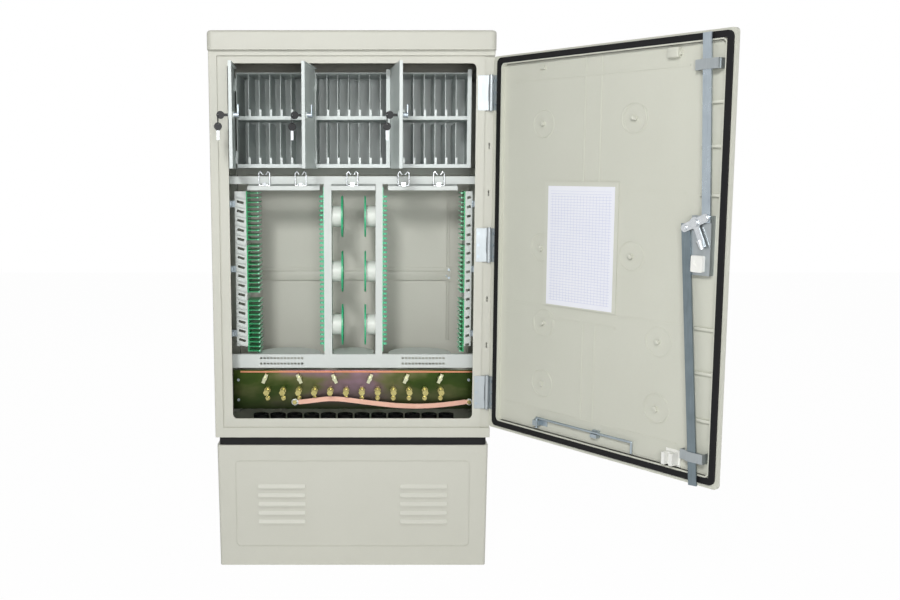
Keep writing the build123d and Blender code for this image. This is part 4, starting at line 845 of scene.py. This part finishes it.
@dataclass
class Distribution:
    """Rail, trays, guides, spools and shelf of the cable bay."""

    pale: tuple[str, ...] = (
        "cable_rail",
        "cable_trays",
        "slotted_panel_left",
        "slotted_panel_right",
        "centre_posts",
        "lower_shelf",
    )

    def build(self) -> None:
        """Dress the middle bay."""
        dress(self.pale, PALE)
        dress(("cable_rings",), CHROME)
        dress(("cable_clamps",), ZINC)
        dress(("fibre_guides",), GREEN)
        dress(("clip_combs",), MINT)
        dress(("spool_flanges",), FLANGE)
        dress(("spool_hubs",), WHITE)


@dataclass
class Earthing:
    """The earthing plate with its studs and lead."""

    def build(self) -> None:
        """Dress the plate and what stands on it."""
        dress(("ground_plate",), CHROMATE)
        dress(("earth_studs",), STUD)
        dress(("clamp_studs",), CLAMP_METAL)
        dress(("copper_bar",), BARE_COPPER)
        dress(("earth_lead",), BRAID)
        dress(("ground_insulators",), WHITE)


@dataclass
class Studio:
    """Pale floor, pale backdrop and soft lights."""

    floor_size: float = 16.0
    floor_gap: float = 0.0004
    world_level: float = 0.22
    backdrop_share: float = 0.98

    def build(self) -> None:
        """Place floor, world and lamps."""
        self.floor()
        self.world()
        self.lamp("key_softbox", (-0.62, -3.9, 2.70), (0.1, 0.0, 0.85), 0.6, 84.0)
        self.lamp("camera_softbox", (0.30, -4.0, 1.25), (0.05, 0.0, 0.9), 0.9, 36.0)
        self.lamp("right_softbox", (3.3, -3.0, 2.0), (0.4, -0.3, 0.8), 2.2, 15.0)
        self.lamp("back_softbox", (0.5, 3.4, 2.6), (0.0, 0.0, 0.8), 2.4, 34.0)
        bpy.context.scene.view_settings.view_transform = "Standard"

    def shown_white(self, sheet: ShaderSheet, share: float) -> Wire:
        """How far a surface shows plain white, by the kind of ray that meets it."""
        path = sheet.node("LightPath")
        seen = Wire(sheet, path.outputs["Is Camera Ray"])
        shone = Wire(sheet, path.outputs["Is Glossy Ray"])
        through = Wire(sheet, path.outputs["Is Transmission Ray"])
        return (seen + shone + through).clamp() * share

    def floor(self) -> None:
        """A wide floor that reads as white and keeps a faint shadow."""
        bpy.ops.object.select_all(action="DESELECT")
        bpy.ops.mesh.primitive_plane_add(size=self.floor_size, location=(0, 0, -self.floor_gap))
        ground = bpy.context.object
        ground.name = "studio_floor"
        sheet = ShaderSheet("floor_finish")
        sheet.set(Base_Color=(0.92, 0.92, 0.92, 1.0), Roughness=0.9)
        white = sheet.node("Emission", Color=(1, 1, 1, 1), Strength=1.0)
        share = self.shown_white(sheet, self.backdrop_share)
        blend = sheet.node("MixShader", in_0=share, in_1=sheet.surface.outputs[0], in_2=white.outputs[0])
        sheet.tree.links.new(blend.outputs[0], sheet.output.inputs[0])
        ground.data.materials.append(sheet.material)

    def world(self) -> None:
        """A world that lights softly and shows white."""
        world = bpy.data.worlds.new("studio_world")
        bpy.context.scene.world = world
        world.use_nodes = True
        tree = world.node_tree
        tree.nodes.clear()
        path = tree.nodes.new("ShaderNodeLightPath")
        shown = tree.nodes.new("ShaderNodeMath")
        shown.operation = "MAXIMUM"
        passed = tree.nodes.new("ShaderNodeMath")
        passed.operation = "MAXIMUM"
        soft = tree.nodes.new("ShaderNodeBackground")
        soft.inputs[0].default_value = (1.0, 1.0, 1.0, 1.0)
        soft.inputs[1].default_value = self.world_level
        white = tree.nodes.new("ShaderNodeBackground")
        white.inputs[0].default_value = (1.0, 1.0, 1.0, 1.0)
        white.inputs[1].default_value = 1.0
        mix = tree.nodes.new("ShaderNodeMixShader")
        out = tree.nodes.new("ShaderNodeOutputWorld")
        tree.links.new(path.outputs["Is Camera Ray"], shown.inputs[0])
        tree.links.new(path.outputs["Is Glossy Ray"], shown.inputs[1])
        tree.links.new(shown.outputs[0], passed.inputs[0])
        tree.links.new(path.outputs["Is Transmission Ray"], passed.inputs[1])
        tree.links.new(passed.outputs[0], mix.inputs[0])
        tree.links.new(soft.outputs[0], mix.inputs[1])
        tree.links.new(white.outputs[0], mix.inputs[2])
        tree.links.new(mix.outputs[0], out.inputs[0])

    def lamp(self, name: str, place: Triple, aim: Triple, size: float, power: float) -> None:
        """Add one square area lamp.

        Args:
            name: Its name.
            place: Where it stands.
            aim: The point it faces.
            size: Its side in metres.
            power: Its power in watts.
        """
        data = bpy.data.lights.new(name, "AREA")
        data.shape = "SQUARE"
        data.size = size
        data.energy = power
        lamp = bpy.data.objects.new(name, data)
        lamp.location = place
        lamp.rotation_euler = (Vector(aim) - Vector(place)).to_track_quat("-Z", "Y").to_euler()
        bpy.context.scene.collection.objects.link(lamp)


@dataclass
class Viewpoint:
    """The camera where the photograph was taken."""

    place: Triple = (0.04665, -2.8758, 1.0905)
    tilt: float = 82.622
    lens: float = 40.758
    sensor: float = 36.0
    shift_x: float = 0.0893
    shift_y: float = 0.0020

    def build(self) -> None:
        """Create the camera and look through it."""
        data = bpy.data.cameras.new("photo_camera")
        data.sensor_width = self.sensor
        data.lens = self.lens
        data.shift_x = self.shift_x
        data.shift_y = self.shift_y
        data.clip_start = 0.02
        camera = bpy.data.objects.new("photo_camera", data)
        camera.location = self.place
        camera.rotation_euler = (math.radians(self.tilt), 0.0, 0.0)
        bpy.context.scene.collection.objects.link(camera)
        bpy.context.scene.camera = camera


def main() -> None:
    """Build the camera, the studio and each sub-assembly in order."""
    logging.basicConfig(level=logging.INFO, format="%(message)s")
    Viewpoint().build()
    Studio().build()
    for part in (Shell(), MainDoor(), Compartments(), Distribution(), Earthing()):
        part.build()
        LOG.info("finished %s", type(part).__name__)


if __name__ == "__main__":
    main()
